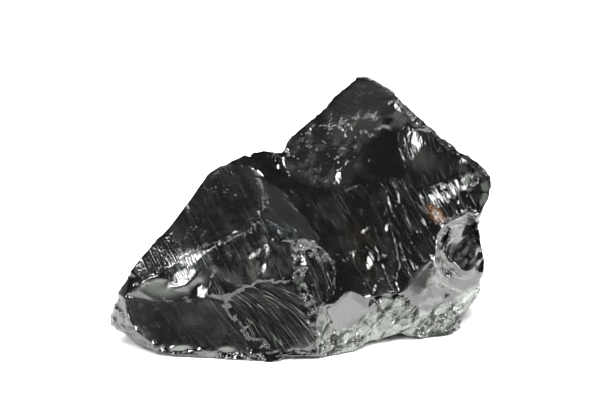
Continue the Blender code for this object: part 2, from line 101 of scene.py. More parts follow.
class Chance:
    """Seeded noise on the plane, the same on every run."""

    # What stirs a cell's column, row and seed into a number of its own.
    FACTORS = (374761393, 668265263, 974634777)
    STIRS = ((13, 1274126177), (16, 2246822519))
    LAST_STIR = 15
    BITS = 0xFFFFFFFF
    KEPT_BITS = 0xFFFFFF

    # How many sizes of swell the layered noise has.
    LAYERS = 3

    # What makes a second number of a cell's first, and a second set of cells of a seed.
    SCATTER = 37.7
    SECOND_SET = 17

    @classmethod
    def hashed(cls, column: np.ndarray, row: np.ndarray, seed: int) -> np.ndarray:
        """Gives each whole-number cell its own number.

        Args:
            column: Cell columns.
            row: Cell rows.
            seed: Chooses the pattern.

        Returns:
            Numbers from 0 to 1.
        """
        by_column, by_row, by_seed = cls.FACTORS
        mixed = column.astype(np.int64) * by_column + row.astype(np.int64) * by_row + seed * by_seed
        mixed = mixed & cls.BITS
        for shift, factor in cls.STIRS:
            mixed = ((mixed ^ (mixed >> shift)) * factor) & cls.BITS
        return ((mixed ^ (mixed >> cls.LAST_STIR)) & cls.KEPT_BITS) / (cls.KEPT_BITS + 1)

    @classmethod
    def smooth(cls, x: np.ndarray, y: np.ndarray, seed: int) -> np.ndarray:
        """Gives soft noise, one swell for each unit.

        Args:
            x: Places along the first axis.
            y: Places along the second axis.
            seed: Chooses the pattern.

        Returns:
            Numbers from 0 to 1.
        """
        column, row = np.floor(x), np.floor(y)
        across, down = x - column, y - row
        across, down = across * across * (3 - 2 * across), down * down * (3 - 2 * down)
        top, low = (
            cls.hashed(column, line, seed) * (1 - across) + cls.hashed(column + 1, line, seed) * across
            for line in (row, row + 1)
        )
        return top * (1 - down) + low * down

    @classmethod
    def layered(cls, x: np.ndarray, y: np.ndarray, seed: int) -> np.ndarray:
        """Gives soft noise with two finer sizes on it.

        Args:
            x: Places along the first axis.
            y: Places along the second axis.
            seed: Chooses the pattern.

        Returns:
            Numbers from -1 to 1, mostly near 0.
        """
        total = np.zeros_like(x)
        for layer in range(cls.LAYERS):
            scale = 2.0**layer
            total += (cls.smooth(x * scale, y * scale, seed + layer) * 2 - 1) / scale
        return total / sum(0.5**layer for layer in range(cls.LAYERS))

    @classmethod
    def cells(cls, x: np.ndarray, y: np.ndarray, seed: int) -> tuple[np.ndarray, np.ndarray, np.ndarray]:
        """Splits the plane between many scattered spots, one to each unit square.

        Args:
            x: Places along the first axis.
            y: Places along the second axis.
            seed: Chooses the spots.

        Returns:
            The squares of the distances to the nearest spot and to the next, and a number from 0 to 1 that
            belongs to the nearest.
        """
        column, row = np.floor(x), np.floor(y)
        nearest, second, number = np.full(x.shape, 9.0), np.full(x.shape, 9.0), np.zeros(x.shape)
        for across in (-1, 0, 1):
            for down in (-1, 0, 1):
                cell_x, cell_y = column + across, row + down
                own = cls.hashed(cell_x, cell_y, seed)
                gap = (x - cell_x - own) ** 2 + (y - cell_y - cls.hashed(cell_x, cell_y, seed + 1)) ** 2
                number = np.where(gap < nearest, (own * cls.SCATTER) % 1, number)
                second = np.minimum(second, np.maximum(nearest, gap))
                nearest = np.minimum(nearest, gap)
        return nearest, second, number

    @classmethod
    def planes(cls, x: np.ndarray, y: np.ndarray, seed: int) -> np.ndarray:
        """Gives flat faces that meet in ridges and grooves: two sets of bowls, one less the other."""
        return cls.cells(x, y, seed)[0] - cls.cells(x, y, seed + cls.SECOND_SET)[0]


@dataclass(frozen=True)
class ReadingView:
    """The fixed view in which places on the front are given, in columns and rows of 612 by 408."""

    eye: tuple[float, float, float] = (0.000643, -0.675154, 0.276865)
    down_degrees: float = 20.0
    distance: float = 0.70
    pixel: float = 0.000250660
    columns: int = 612
    rows: int = 408

    @property
    def axes(self) -> np.ndarray:
        """Gives the view's right, up and forward directions, one in each row."""
        tilt = math.radians(self.down_degrees)
        return np.array(
            ((1, 0, 0), (0, math.sin(tilt), math.cos(tilt)), (0, math.cos(tilt), -math.sin(tilt)))
        )

    @property
    def unit(self) -> float:
        """Gives the width of a column at a depth of one."""
        return self.pixel / self.distance

    def rays(self, column: np.ndarray, row: np.ndarray) -> np.ndarray:
        """Gives the ways from the eye through picture places, one unit deep.

        Args:
            column: Picture columns.
            row: Picture rows.

        Returns:
            Vectors, with their three numbers last.
        """
        right, up, forward = self.axes
        across = (column - self.columns / 2)[..., None] * self.unit
        rise = (self.rows / 2 - row)[..., None] * self.unit
        return forward + across * right + rise * up

    def seen(self, points: Points) -> tuple[np.ndarray, np.ndarray, np.ndarray]:
        """Gives where points are seen.

        Args:
            points: One point in each row.

        Returns:
            Their columns, rows and depths.
        """
        sight = (points - np.array(self.eye)) @ self.axes.T
        depth = sight[:, 2]
        column = self.columns / 2 + sight[:, 0] / depth / self.unit
        row = self.rows / 2 - sight[:, 1] / depth / self.unit
        return column, row, depth


VIEW = ReadingView()


@dataclass(frozen=True)
class Zone:
    """A place on the front: an outline in columns and rows, and how many columns wide its soft edge is."""

    # How many columns a swell of the uneven outline takes, and which patterns move it across and down.
    SWAY = 14
    SWAY_SEEDS = (5, 8)

    outline: tuple[tuple[float, float], ...]
    soft: float = 4.0
    uneven: float = 3.0

    @property
    def window(self) -> Window:
        """Gives the zone's lowest and highest columns, then its lowest and highest rows."""
        columns, rows = zip(*self.outline)
        edge = self.soft / 2 + self.uneven + 1
        return min(columns) - edge, max(columns) + edge, min(rows) - edge, max(rows) + edge

    def share(self, column: np.ndarray, row: np.ndarray) -> np.ndarray:
        """Tells how far places belong to the zone.

        Args:
            column: Picture columns.
            row: Picture rows.

        Returns:
            Shares from 0 outside to 1 inside.
        """
        across, down = (Chance.layered(column / self.SWAY, row / self.SWAY, seed) for seed in self.SWAY_SEEDS)
        column, row = column + across * self.uneven, row + down * self.uneven
        nearest = np.full(column.shape, np.inf)
        inside = np.zeros(column.shape, bool)
        for (x0, y0), (x1, y1) in zip(self.outline, self.outline[1:] + self.outline[:1]):
            dx, dy = x1 - x0, y1 - y0
            along = np.clip(((column - x0) * dx + (row - y0) * dy) / (dx * dx + dy * dy), 0, 1)
            nearest = np.minimum(nearest, np.hypot(column - x0 - along * dx, row - y0 - along * dy))
            if dy:
                inside ^= ((y0 > row) != (y1 > row)) & (column < x0 + (row - y0) * dx / dy)
        return ease(np.where(inside, nearest, -nearest), -self.soft / 2, self.soft / 2)


@dataclass(frozen=True)
class Oval:
    """A place on the front: an ellipse at a column and row, turned by degrees against the clock."""

    column: float
    row: float
    length: float
    width: float
    turn: float = 0.0
    soft: float = 0.35

    @property
    def window(self) -> tuple[float, float, float, float]:
        """Gives the ellipse's lowest and highest columns, then its lowest and highest rows."""
        far = max(self.length, self.width) / 2 * (1 + self.soft) + 1
        return self.column - far, self.column + far, self.row - far, self.row + far

    def share(self, column: np.ndarray, row: np.ndarray) -> np.ndarray:
        """Tells how far places belong to the ellipse.

        Args:
            column: Picture columns.
            row: Picture rows.

        Returns:
            Shares from 0 outside to 1 inside.
        """
        angle = math.radians(self.turn)
        dx, dy = column - self.column, self.row - row
        along = (dx * math.cos(angle) + dy * math.sin(angle)) / (self.length / 2)
        beside = (dy * math.cos(angle) - dx * math.sin(angle)) / (self.width / 2)
        return 1 - ease(np.hypot(along, beside), 1 - self.soft, 1 + self.soft)


def turned(column: np.ndarray, row: np.ndarray, turn: float, stretch: float) -> tuple[Grid, Grid]:
    """Gives places along and beside a turned way.

    Args:
        column: Picture columns.
        row: Picture rows.
        turn: Degrees from level, against the clock.
        stretch: How many times longer things are along the way.

    Returns:
        The places along the way, then beside it.
    """
    angle = math.radians(turn)
    along = (column * math.cos(angle) - row * math.sin(angle)) / stretch
    return along, column * math.sin(angle) + row * math.cos(angle)


@dataclass(frozen=True)
class Relief:
    """Heights on a place of the front."""

    where: "Place"

    def relief(self, column: np.ndarray, row: np.ndarray) -> np.ndarray:
        """Gives the heights in millimetres, which fade out at the place's edge."""
        return self.heights(column, row) * self.where.share(column, row)

    def heights(self, column: np.ndarray, row: np.ndarray) -> np.ndarray:
        """Gives the heights in millimetres, towards the eye, as each kind of relief has them."""
        raise NotImplementedError


@dataclass(frozen=True)
class Steps(Relief):
    """Stairs: parallel steps that run one way, each rising slowly and dropping at once."""

    # How far apart two steps' heights lie in their noise.
    APART = 7.3

    run: tuple[float, float]
    spacing: float
    height: float
    seed: int
    drop: float = 0.22
    wander: float = 0.6
    lowest: float = 0.35

    def heights(self, column: np.ndarray, row: np.ndarray) -> np.ndarray:
        """Gives the stairs' height in millimetres.

        Args:
            column: Picture columns.
            row: Picture rows.

        Returns:
            Heights towards the eye.
        """
        length = math.hypot(*self.run)
        along = (column * self.run[0] + row * self.run[1]) / length
        across = (column * self.run[1] - row * self.run[0]) / length
        sway = Chance.layered(along / (self.spacing * 4), across / (self.spacing * 5), self.seed)
        place = across / self.spacing + sway * self.wander
        step = place - np.floor(place)
        tread = np.where(step < 1 - self.drop, step / (1 - self.drop), (1 - step) / self.drop)
        own = Chance.smooth(np.floor(place) * self.APART, along / (self.spacing * 5), self.seed + 9)
        return self.height * tread * (self.lowest + (1 - self.lowest) * own)


@dataclass(frozen=True)
class Ribs(Relief):
    """Arrest lines: low waves round the place where a hollow was struck."""

    origin: tuple[float, float]
    spacing: float
    height: float
    seed: int
    uneven: float = 0.9
    lowest: float = 0.4

    def heights(self, column: np.ndarray, row: np.ndarray) -> np.ndarray:
        """Gives the waves' height in millimetres.

        Args:
            column: Picture columns.
            row: Picture rows.

        Returns:
            Heights towards the eye.
        """
        dx, dy = column - self.origin[0], row - self.origin[1]
        reach, angle = np.hypot(dx, dy), np.arctan2(dy, dx)
        sway = Chance.layered(reach / (self.spacing * 3), angle * 3, self.seed) * self.uneven
        wave = np.sin(2 * math.pi * (reach / self.spacing + sway))
        own = Chance.smooth(reach / (self.spacing * 2), angle * 2, self.seed + 5)
        return self.height * wave * (self.lowest + (1 - self.lowest) * own)


@dataclass(frozen=True)
class Shards(Relief):
    """Broken places: small flat faces, each leaning its own way."""

    size: float
    lean: float
    seed: int
    stretch: float = 1.0
    turn: float = 0.0
    sizes: tuple[float, ...] = (1.0, 0.42)

    def heights(self, column: np.ndarray, row: np.ndarray) -> np.ndarray:
        """Gives the faces' height in millimetres.

        Args:
            column: Picture columns.
            row: Picture rows.

        Returns:
            Heights towards the eye.
        """
        along, beside = turned(column, row, self.turn, self.stretch)
        total = np.zeros_like(column)
        for number, share in enumerate(self.sizes):
            width = self.size * share
            faces = Chance.planes(along / width, beside / width, self.seed + 40 * number)
            total += faces * width * VIEW.pixel / MM * self.lean
        return total


@dataclass(frozen=True)
class Swell(Relief):
    """A low bulge, or a dent where its height is below nothing."""

    height: float

    def heights(self, column: np.ndarray, row: np.ndarray) -> np.ndarray:
        """Gives the bulge's height in millimetres, the same everywhere."""
        return np.full_like(column, self.height)


class Lit(Enum):
    """What a small flat face throws back to the reading view."""

    KEY = (-42, 36)
    SIDE = (80, 22)
    WALL = (-20, 6)
    RIGHT_WALL = (50, 6)
    DIM = (-15, 17)
    RIGHT_DIM = (50, 15)
    TABLE = (10, -14)


@dataclass(frozen=True)
class Facet:
    """A face turned so that it throws light from one way, or from one lit thing, back to the reading view."""

    where: "Place"
    lit: Lit | tuple[float, float]
    turned: float = 1.0

    def way(self, rays: np.ndarray) -> np.ndarray:
        """Gives the way that the face has to look, for each line of sight.

        Args:
            rays: The lines of sight.

        Returns:
            Unit vectors.
        """
        back = -rays / np.linalg.norm(rays, axis=-1, keepdims=True)
        light = self.lit.value if isinstance(self.lit, Lit) else self.lit
        between = back + direction(*light)
        return between / np.linalg.norm(between, axis=-1, keepdims=True)


class Look(Enum):
    """What a mark adds to the coal's surface."""

    CRUMB = "crumb"
    # Pale dust, which in places is painted sheen: pale reflections and highlights put into the colour.
    DUST = "dust"
    STAIN = "stain"
    # A painted blue sheen: a bluish tint put into the colour near highlights, standing in for a bluish
    # reflection.
    BLUE = "blue"


@dataclass(frozen=True)
class Lines:
    """Which way lines lie: side by side along a run, spreading from an apex, or in rings round it."""

    # How many columns a radian counts as.
    FAN_COLUMNS = 60
    RING_COLUMNS = 30

    run: tuple[float, float] = (1, 0)
    apex: tuple[float, float] | None = None
    bend: float = 0.0
    rings: bool = False

    def place(self, column: np.ndarray, row: np.ndarray) -> tuple[np.ndarray, np.ndarray]:
        """Gives places across and along the lines, in columns.

        Args:
            column: Picture columns.
            row: Picture rows.

        Returns:
            The places across, then along.
        """
        if self.apex is None:
            length = math.hypot(*self.run)
            along = (column * self.run[0] + row * self.run[1]) / length
            return (column * self.run[1] - row * self.run[0]) / length + self.bend * along**2 / 100, along
        dx, dy = column - self.apex[0], row - self.apex[1]
        reach = np.hypot(dx, dy)
        if self.rings:
            return reach, np.arctan2(dx, dy) * self.RING_COLUMNS
        return np.arctan2(dy, -dx) * self.FAN_COLUMNS + self.bend * reach, reach


@dataclass(frozen=True)
class Pattern:
    """Something that repeats on a place of the front."""

    where: Zone | Oval

    @property
    def window(self) -> Window:
        """Gives the place's lowest and highest columns, then its lowest and highest rows."""
        return self.where.window

    def share(self, column: np.ndarray, row: np.ndarray) -> np.ndarray:
        """Tells how far spots belong to the pattern, which fades out at the place's edge."""
        return self.pattern(column, row) * self.where.share(column, row)

    def pattern(self, column: np.ndarray, row: np.ndarray) -> np.ndarray:
        """Tells how far spots belong to the pattern, from 0 to 1, as each kind has it."""
        raise NotImplementedError


@dataclass(frozen=True)
class Wisps(Pattern):
    """Fine broken lines."""

    # How far apart two lines' pieces lie in their noise.
    APART = 5.7

    lines: Lines
    spacing: float
    seed: int
    thick: float = 0.3
    length: float = 14.0
    amount: float = 0.4
    wander: float = 1.5

    def pattern(self, column: np.ndarray, row: np.ndarray) -> np.ndarray:
        """Tells how far spots belong to the lines.

        Args:
            column: Picture columns.
            row: Picture rows.

        Returns:
            Shares from 0 beside the lines to 1 on them.
        """
        across, along = self.lines.place(column, row)
        sway = Chance.layered(across / (self.spacing * 7), along / (self.length * 2), self.seed) * self.wander
        place = across / self.spacing + sway
        line = np.floor(place)
        own = Chance.hashed(line, line * 0, self.seed + 1)
        piece = Chance.smooth(line * self.APART, along / self.length + own * 9, self.seed + 2)
        there = ease(piece, 1 - self.amount, 1.15 - self.amount)
        beside = np.abs(place - line - 0.5) * 2
        thick = self.thick * (0.4 + 0.6 * there)
        return (1 - ease(beside, thick * 0.5, thick * 1.3)) * there


@dataclass(frozen=True)
class Flecks(Pattern):
    """Scattered small patches."""

    size: float
    seed: int
    amount: float = 0.2
    stretch: float = 1.0
    turn: float = 0.0
    edge: float = 0.14

    def pattern(self, column: np.ndarray, row: np.ndarray) -> np.ndarray:
        """Tells how far spots belong to the patches.

        Args:
            column: Picture columns.
            row: Picture rows.

        Returns:
            Shares from 0 beside the patches to 1 on them.
        """
        along, beside = turned(column, row, self.turn, self.stretch)
        gap, beyond, number = Chance.cells(along / self.size, beside / self.size, self.seed)
        return (number < self.amount) * ease(np.sqrt(beyond) - np.sqrt(gap), 0.0, self.edge)


@dataclass(frozen=True)
class Cracks(Pattern):
    """A net of cracks between uneven slabs."""

    size: float
    seed: int
    thick: float = 0.16
    stretch: float = 1.0
    turn: float = 0.0

    def pattern(self, column: np.ndarray, row: np.ndarray) -> np.ndarray:
        """Tells how far spots belong to the cracks.

        Args:
            column: Picture columns.
            row: Picture rows.

        Returns:
            Shares from 0 on the slabs to 1 in the cracks.
        """
        along, beside = (way / self.size for way in turned(column, row, self.turn, self.stretch))
        gap, beyond, _ = Chance.cells(along, beside, self.seed)
        wide = self.thick * (0.3 + 1.4 * Chance.smooth(along * 1.3, beside * 1.3, self.seed + 5))
        return 1 - ease(np.sqrt(beyond) - np.sqrt(gap), wide * 0.4, wide)


Place = Zone | Oval | Pattern


@dataclass(frozen=True)
class Mark:
    """A place whose surface has a look of its own."""

    where: Place
    look: Look
    amount: float


@dataclass(frozen=True)
class Grain:
    """Fine streaks in the coal's own surface: bumps, and pale lines painted into the colour as highlights."""

    where: Place
    lines: Lines
    amount: float
    # How much pale line is painted into the colour along the streaks: painted highlights of glinting hackles.
    light: float = 0.0


@dataclass
class Front:
    """The relief of the front as the reading view sees it, worked out on a grid of its columns and rows."""

    fineness: int = 2
    reach: float = 70.0
    slack: float = 0.08
    rounds: int = 24
    margin: int = 40
    steepest: float = 4.0
    looked_at: tuple[int, int, int, int] = (105, 497, 70, 370)
    depth: Grid = field(init=False)
    covered: Grid = field(init=False)

    @cached_property
    def places(self) -> tuple[Grid, Grid]:
        """Gives the grid's columns and rows."""
        rows = (np.arange(VIEW.rows * self.fineness) + 0.5) / self.fineness
        columns = (np.arange(VIEW.columns * self.fineness) + 0.5) / self.fineness
        column, row = np.meshgrid(columns, rows)
        return column, row

    def part(self, where: Place) -> tuple[slice, slice]:
        """Gives the part of the grid that a place covers.

        Args:
            where: The place.

        Returns:
            Its rows and its columns in the grid.
        """
        left, right, top, low = (int(edge * self.fineness) for edge in where.window)
        return slice(max(top, 0), max(low + 2, 2)), slice(max(left, 0), max(right + 2, 2))

    def look(self, tree: BVHTree) -> None:
        """Notes how deep the lump's surface lies at each column and row.

        Args:
            tree: The lump's surface.
        """
        eye = Vector(VIEW.eye)
        depth = np.zeros((VIEW.rows, VIEW.columns))
        forward = VIEW.axes[2]
        left, right, top, low = self.looked_at
        for row in range(top, low):
            rays = VIEW.rays(np.arange(VIEW.columns) + 0.5, np.full(VIEW.columns, row + 0.5))
            for column in range(left, right):
                way = Vector(rays[column]).normalized()
                hit = tree.ray_cast(eye, way)[3]
                if hit is not None:
                    depth[row, column] = hit * float(np.array(way) @ forward)
        self.covered = self.finer((depth > 0).astype(float))
        for _ in range(self.margin):
            depth = self.spread(depth)
        self.depth = self.finer(depth)

    def read(self, grid: Grid, column: np.ndarray, row: np.ndarray) -> np.ndarray:
        """Reads a finer grid at picture columns and rows."""
        return sample(grid, column * self.fineness - 0.5, row * self.fineness - 0.5)

    def seen(self, points: Points, ways: Points, slack: float, low: float, high: float) -> np.ndarray:
        """Tells how far points belong to the front, as the reading view sees it.

        Args:
            points: The points.
            ways: The way that each faces.
            slack: How far behind the surface a point may lie.
            low: How squarely a point must face the eye to count at all.
            high: How squarely it must face the eye to count in full.

        Returns:
            Shares from 0 on the far side to 1 on the front.
        """
        column, row, depth = VIEW.seen(points)
        sight = points - np.array(VIEW.eye)
        facing = -(ways * sight).sum(1) / np.linalg.norm(sight, axis=1)
        hidden = depth - self.read(self.depth, column, row)
        return ease(facing, low, high) * (1 - ease(hidden, slack, 2 * slack))

    @staticmethod
    def spread(grid: Grid) -> Grid:
        """Grows the filled part of a grid by one place.

        Args:
            grid: Numbers, with 0 where nothing is known.

        Returns:
            The grid, with places beside known ones filled in.
        """
        total, count = np.zeros_like(grid), np.zeros_like(grid)
        for axis in (0, 1):
            for way in (-1, 1):
                near = np.roll(grid, way, axis)
                total += near
                count += near > 0
        return np.where(grid > 0, grid, total / np.maximum(count, 1))

    def finer(self, grid: Grid) -> Grid:
        """Samples a grid of whole columns and rows at the finer grid's places.

        Args:
            grid: One number for each column and row.

        Returns:
            The finer grid.
        """
        column, row = self.places
        return sample(grid, column - 0.5, row - 0.5)

    def solve(self, flats: list[Facet], reliefs: list[Relief], facets: list[Facet]) -> Grid:
        """Finds how far the front moves along each line of sight.

        Args:
            flats: The broad faces, turned first.
            reliefs: What gives heights on them.
            facets: The small faces, turned last.

        Returns:
            Metres along the line of sight, positive away from the eye.
        """
        column, row = self.places
        down, across = np.gradient(self.depth, 1 / self.fineness)
        wanted = Slopes(self, across.copy(), down.copy(), np.full_like(across, self.slack))
        for flat in flats:
            wanted.turn(flat)
        raised = np.zeros_like(self.depth)
        for relief in reliefs:
            part = self.part(relief.where)
            raised[part] -= relief.relief(column[part], row[part]) * MM
        rise_down, rise_across = np.gradient(raised, 1 / self.fineness)
        wanted.across += rise_across
        wanted.down += rise_down
        for facet in facets:
            wanted.turn(facet)
        limit = self.steepest * VIEW.unit * self.depth
        off_across = np.clip(wanted.across - across, -limit, limit) * self.covered
        off_down = np.clip(wanted.down - down, -limit, limit) * self.covered
        return self.gathered(off_across, off_down, wanted.weight)

    def gathered(self, across: Grid, down: Grid, weight: Grid) -> Grid:
        """Finds the shape whose slopes come closest to those wanted, while it stays near nothing.

        Args:
            across: Wanted slope for each column.
            down: Wanted slope for each row.
            weight: How much the slopes matter at each place.

        Returns:
            The shape's heights.
        """
        hold = 1 / (self.reach * self.fineness) ** 2
        middle = float(weight.mean())
        rows, columns = across.shape
        by_row = 2 - 2 * np.cos(2 * math.pi * np.fft.fftfreq(rows))[:, None]
        by_column = 2 - 2 * np.cos(2 * math.pi * np.fft.rfftfreq(columns))[None, :]
        even = middle * (by_row + by_column) + hold

        def spread(to_right: Grid, to_below: Grid) -> Grid:
            """Sums what flows out of each place."""
            flow_across, flow_down = weight * to_right, weight * to_below
            return np.roll(flow_across, 1, 1) - flow_across + np.roll(flow_down, 1, 0) - flow_down

        def pull(shape: Grid) -> Grid:
            """Applies the sums that the shape has to meet."""
            return spread(np.roll(shape, -1, 1) - shape, np.roll(shape, -1, 0) - shape) + hold * shape

        shape = np.zeros_like(across)
        left = spread(across / self.fineness, down / self.fineness)
        guess = np.fft.irfft2(np.fft.rfft2(left) / even, s=left.shape)
        way = guess
        size = float((left * guess).sum())
        for _ in range(self.rounds):
            pulled = pull(way)
            step = size / float((way * pulled).sum())
            shape += step * way
            left -= step * pulled
            guess = np.fft.irfft2(np.fft.rfft2(left) / even, s=left.shape)
            size, before = float((left * guess).sum()), size
            way = guess + way * (size / before)
        return shape


@dataclass
class Slopes:
    """The slopes wanted of the front, and how much they matter."""

    front: Front
    across: Grid
    down: Grid
    weight: Grid

    def turn(self, facet: Facet) -> None:
        """Turns one face.

        Args:
            facet: The face.
        """
        column, row = self.front.places
        part = self.front.part(facet.where)
        share = facet.where.share(column[part], row[part]) * facet.turned
        rays = VIEW.rays(column[part], row[part])
        way = facet.way(rays)
        right, up, _ = VIEW.axes
        slope = -self.front.depth[part] * VIEW.unit / (way * rays).sum(-1)
        self.across[part] += share * (slope * (way @ right) - self.across[part])
        self.down[part] += share * (-slope * (way @ up) - self.down[part])
        self.weight[part] = np.maximum(self.weight[part], share)


def sample(grid: Grid, column: np.ndarray, row: np.ndarray) -> np.ndarray:
    """Reads a grid between its places.

    Args:
        grid: Numbers in rows and columns.
        column: Where to read across.
        row: Where to read down.

    Returns:
        The numbers there.
    """
    rows, columns = grid.shape
    column, row = np.clip(column, 0, columns - 1.001), np.clip(row, 0, rows - 1.001)
    left, top = np.floor(column).astype(int), np.floor(row).astype(int)
    across, down = column - left, row - top
    high = grid[top, left] * (1 - across) + grid[top, left + 1] * across
    low = grid[top + 1, left] * (1 - across) + grid[top + 1, left + 1] * across
    return high * (1 - down) + low * down


# Places on the front, in the reading view's columns and rows.
FACE_UPPER_LEFT = Zone(
    ((128, 270), (170, 215), (215, 164), (250, 158), (262, 190), (262, 215), (240, 236), (205, 245),
     (168, 266), (150, 282)), 6)
FACE_LOWER_LEFT = Zone(
    ((122, 296), (145, 300), (180, 300), (236, 297), (262, 284), (290, 282), (304, 296), (312, 322),
     (316, 350), (160, 348), (132, 330)), 6)
BREAK_STREAKS = Zone(
    ((166, 278), (178, 256), (198, 238), (214, 232), (224, 246), (210, 264), (194, 280), (176, 286)), 10)
GREY_PATCH = Zone(((140, 290), (152, 281), (168, 284), (182, 292), (176, 300), (158, 300)), 8)
BEHIND_CREST = Zone(((226, 236), (264, 220), (296, 236), (296, 280), (262, 286), (226, 284), (212, 262)), 8)
HACKLE_FAN = Zone(
    ((316, 344), (311, 322), (303, 296), (290, 281), (262, 283), (240, 292), (226, 302), (234, 318),
     (252, 332), (272, 346), (290, 354)), 16, 6)
MIDDLE_FACE = Zone(
    ((290, 190), (320, 186), (366, 185), (384, 210), (398, 262), (396, 292), (372, 292), (330, 245)), 8)
STAIR_BAND = Zone(
    ((376, 176), (402, 180), (426, 210), (436, 236), (436, 252), (424, 264), (406, 280), (396, 266),
     (392, 236)), 8)
BOWL = Zone(
    ((397, 137), (405, 123), (425, 130), (445, 145), (460, 158), (458, 168), (448, 178), (430, 185),
     (408, 185)), 5)
SMOOTH_SCOOP = Zone(((365, 132), (380, 126), (394, 134), (398, 150), (394, 166), (376, 164), (365, 150)), 6)
PEAK_FACE = Zone(
    ((354, 78), (372, 80), (388, 94), (396, 112), (384, 120), (366, 113), (352, 121), (338, 112),
     (324, 117), (338, 94)), 8, 5)
UNDER_BOWL = Zone(
    ((412, 186), (432, 187), (452, 178), (474, 172), (478, 205), (462, 216), (440, 224), (424, 210)), 6)
RIGHT_CRUMBS = Zone(
    ((385, 87), (400, 97), (432, 126), (460, 150), (486, 168), (480, 176), (462, 158), (428, 132),
     (402, 112)), 4)
RIGHT_END_FACE = Zone(((464, 166), (490, 174), (489, 200), (480, 216), (466, 210)), 4)
UPPER_CRUMBS = Zone(
    ((284, 158), (290, 140), (312, 121), (345, 118), (362, 134), (364, 160), (345, 186), (318, 186),
     (290, 176)), 10)
PEAK_CRUMBS = Zone(
    ((324, 121), (336, 112), (348, 118), (362, 108), (382, 117), (370, 138), (346, 144), (330, 134)), 12, 8)
CREST = Zone(
    ((294, 238), (301, 239), (301, 262), (307, 288), (320, 314), (320, 336), (313, 334), (306, 312),
     (295, 286), (291, 262)), 5, 5)
SCOOP_TOP = Zone(((304, 240), (322, 240), (330, 254), (322, 262), (308, 256)), 5)
SCOOP = Zone(((302, 252), (326, 254), (336, 272), (334, 296), (318, 308), (306, 290)), 5)
LIGHT_BAND = Zone(
    ((242, 166), (256, 172), (284, 194), (304, 216), (322, 240), (300, 238), (268, 222), (256, 194)), 5)
BAND_EDGE = Zone(
    ((254, 170), (285, 191), (302, 214), (322, 238), (347, 265), (374, 291), (371, 292), (344, 267),
     (319, 240), (299, 216), (283, 194), (253, 173)), 2, 1)
SHELL_RIM = Zone(
    ((440, 232), (448, 222), (464, 214), (482, 210), (476, 222), (460, 228), (452, 244), (452, 262),
     (460, 276), (476, 278), (478, 284), (452, 296), (440, 286), (436, 258)), 4)
SHELL_DARK = Zone(
    ((475, 230), (477, 241), (475, 253), (473, 263), (470, 272), (465, 270), (458, 264), (454, 256),
     (457, 246), (463, 238), (470, 232)), 4, 4)
SHELL_EDGE = Zone(((477, 226), (484, 228), (485, 262), (480, 280), (475, 270), (477, 250)), 3)
UNDER_SHELL = Zone(
    ((429, 278), (432, 262), (440, 262), (452, 288), (472, 286), (474, 292), (452, 304), (424, 311),
     (410, 312), (422, 300)), 4)
LENS_STREAK = Zone(
    ((430, 262), (436, 262), (441, 276), (443, 290), (439, 300), (434, 290), (431, 276)), 3, 1)
LENS_SHADE = Zone(((443, 272), (450, 282), (457, 290), (452, 297), (445, 296), (443, 286)), 3, 1)
LENS_UPPER = Zone(((434, 262), (432, 284), (422, 298), (408, 298), (406, 286), (418, 270)), 8)
LENS_LOWER = Zone(((412, 292), (418, 306), (402, 316), (388, 316), (394, 302)), 6)
PALE_FACET = Zone(
    ((335, 306), (351, 291), (354, 300), (370, 311), (354, 321), (336, 331), (330, 322)), 1.5, 0.7)
WEDGES = Zone(((318, 308), (334, 306), (332, 330), (328, 352), (316, 354)), 4)
FRONT_CRUMBS = Zone(
    ((316, 344), (336, 330), (358, 324), (368, 312), (370, 299), (392, 300), (408, 296), (410, 308),
     (424, 311), (450, 300), (478, 284), (470, 312), (452, 338), (402, 340), (360, 350), (320, 360)), 4)
LEFT_FOLD = Zone(((212, 262), (228, 243), (248, 222), (258, 224), (240, 246), (222, 264)), 5, 2)
FAN_FOLD = Zone(((222, 296), (231, 298), (240, 314), (242, 326), (234, 322), (226, 308)), 4, 1)
UNDER_BREAK = Zone(
    ((209, 300), (211, 282), (214, 266), (222, 266), (232, 282), (258, 285), (240, 296), (222, 302)), 7, 3)
PALE_FLAP = Zone(((454, 306), (462, 292), (480, 282), (478, 296), (468, 310), (458, 318)), 3, 1)
LEFT_FOOT = Zone(
    ((113, 296), (124, 303), (127, 322), (136, 332), (158, 350), (150, 354), (130, 340),
     (110, 324)), 3, 1.5)
LOWER_RIM = Zone(((158, 346), (200, 350), (250, 352), (316, 350), (316, 362), (240, 362), (156, 356)), 3)


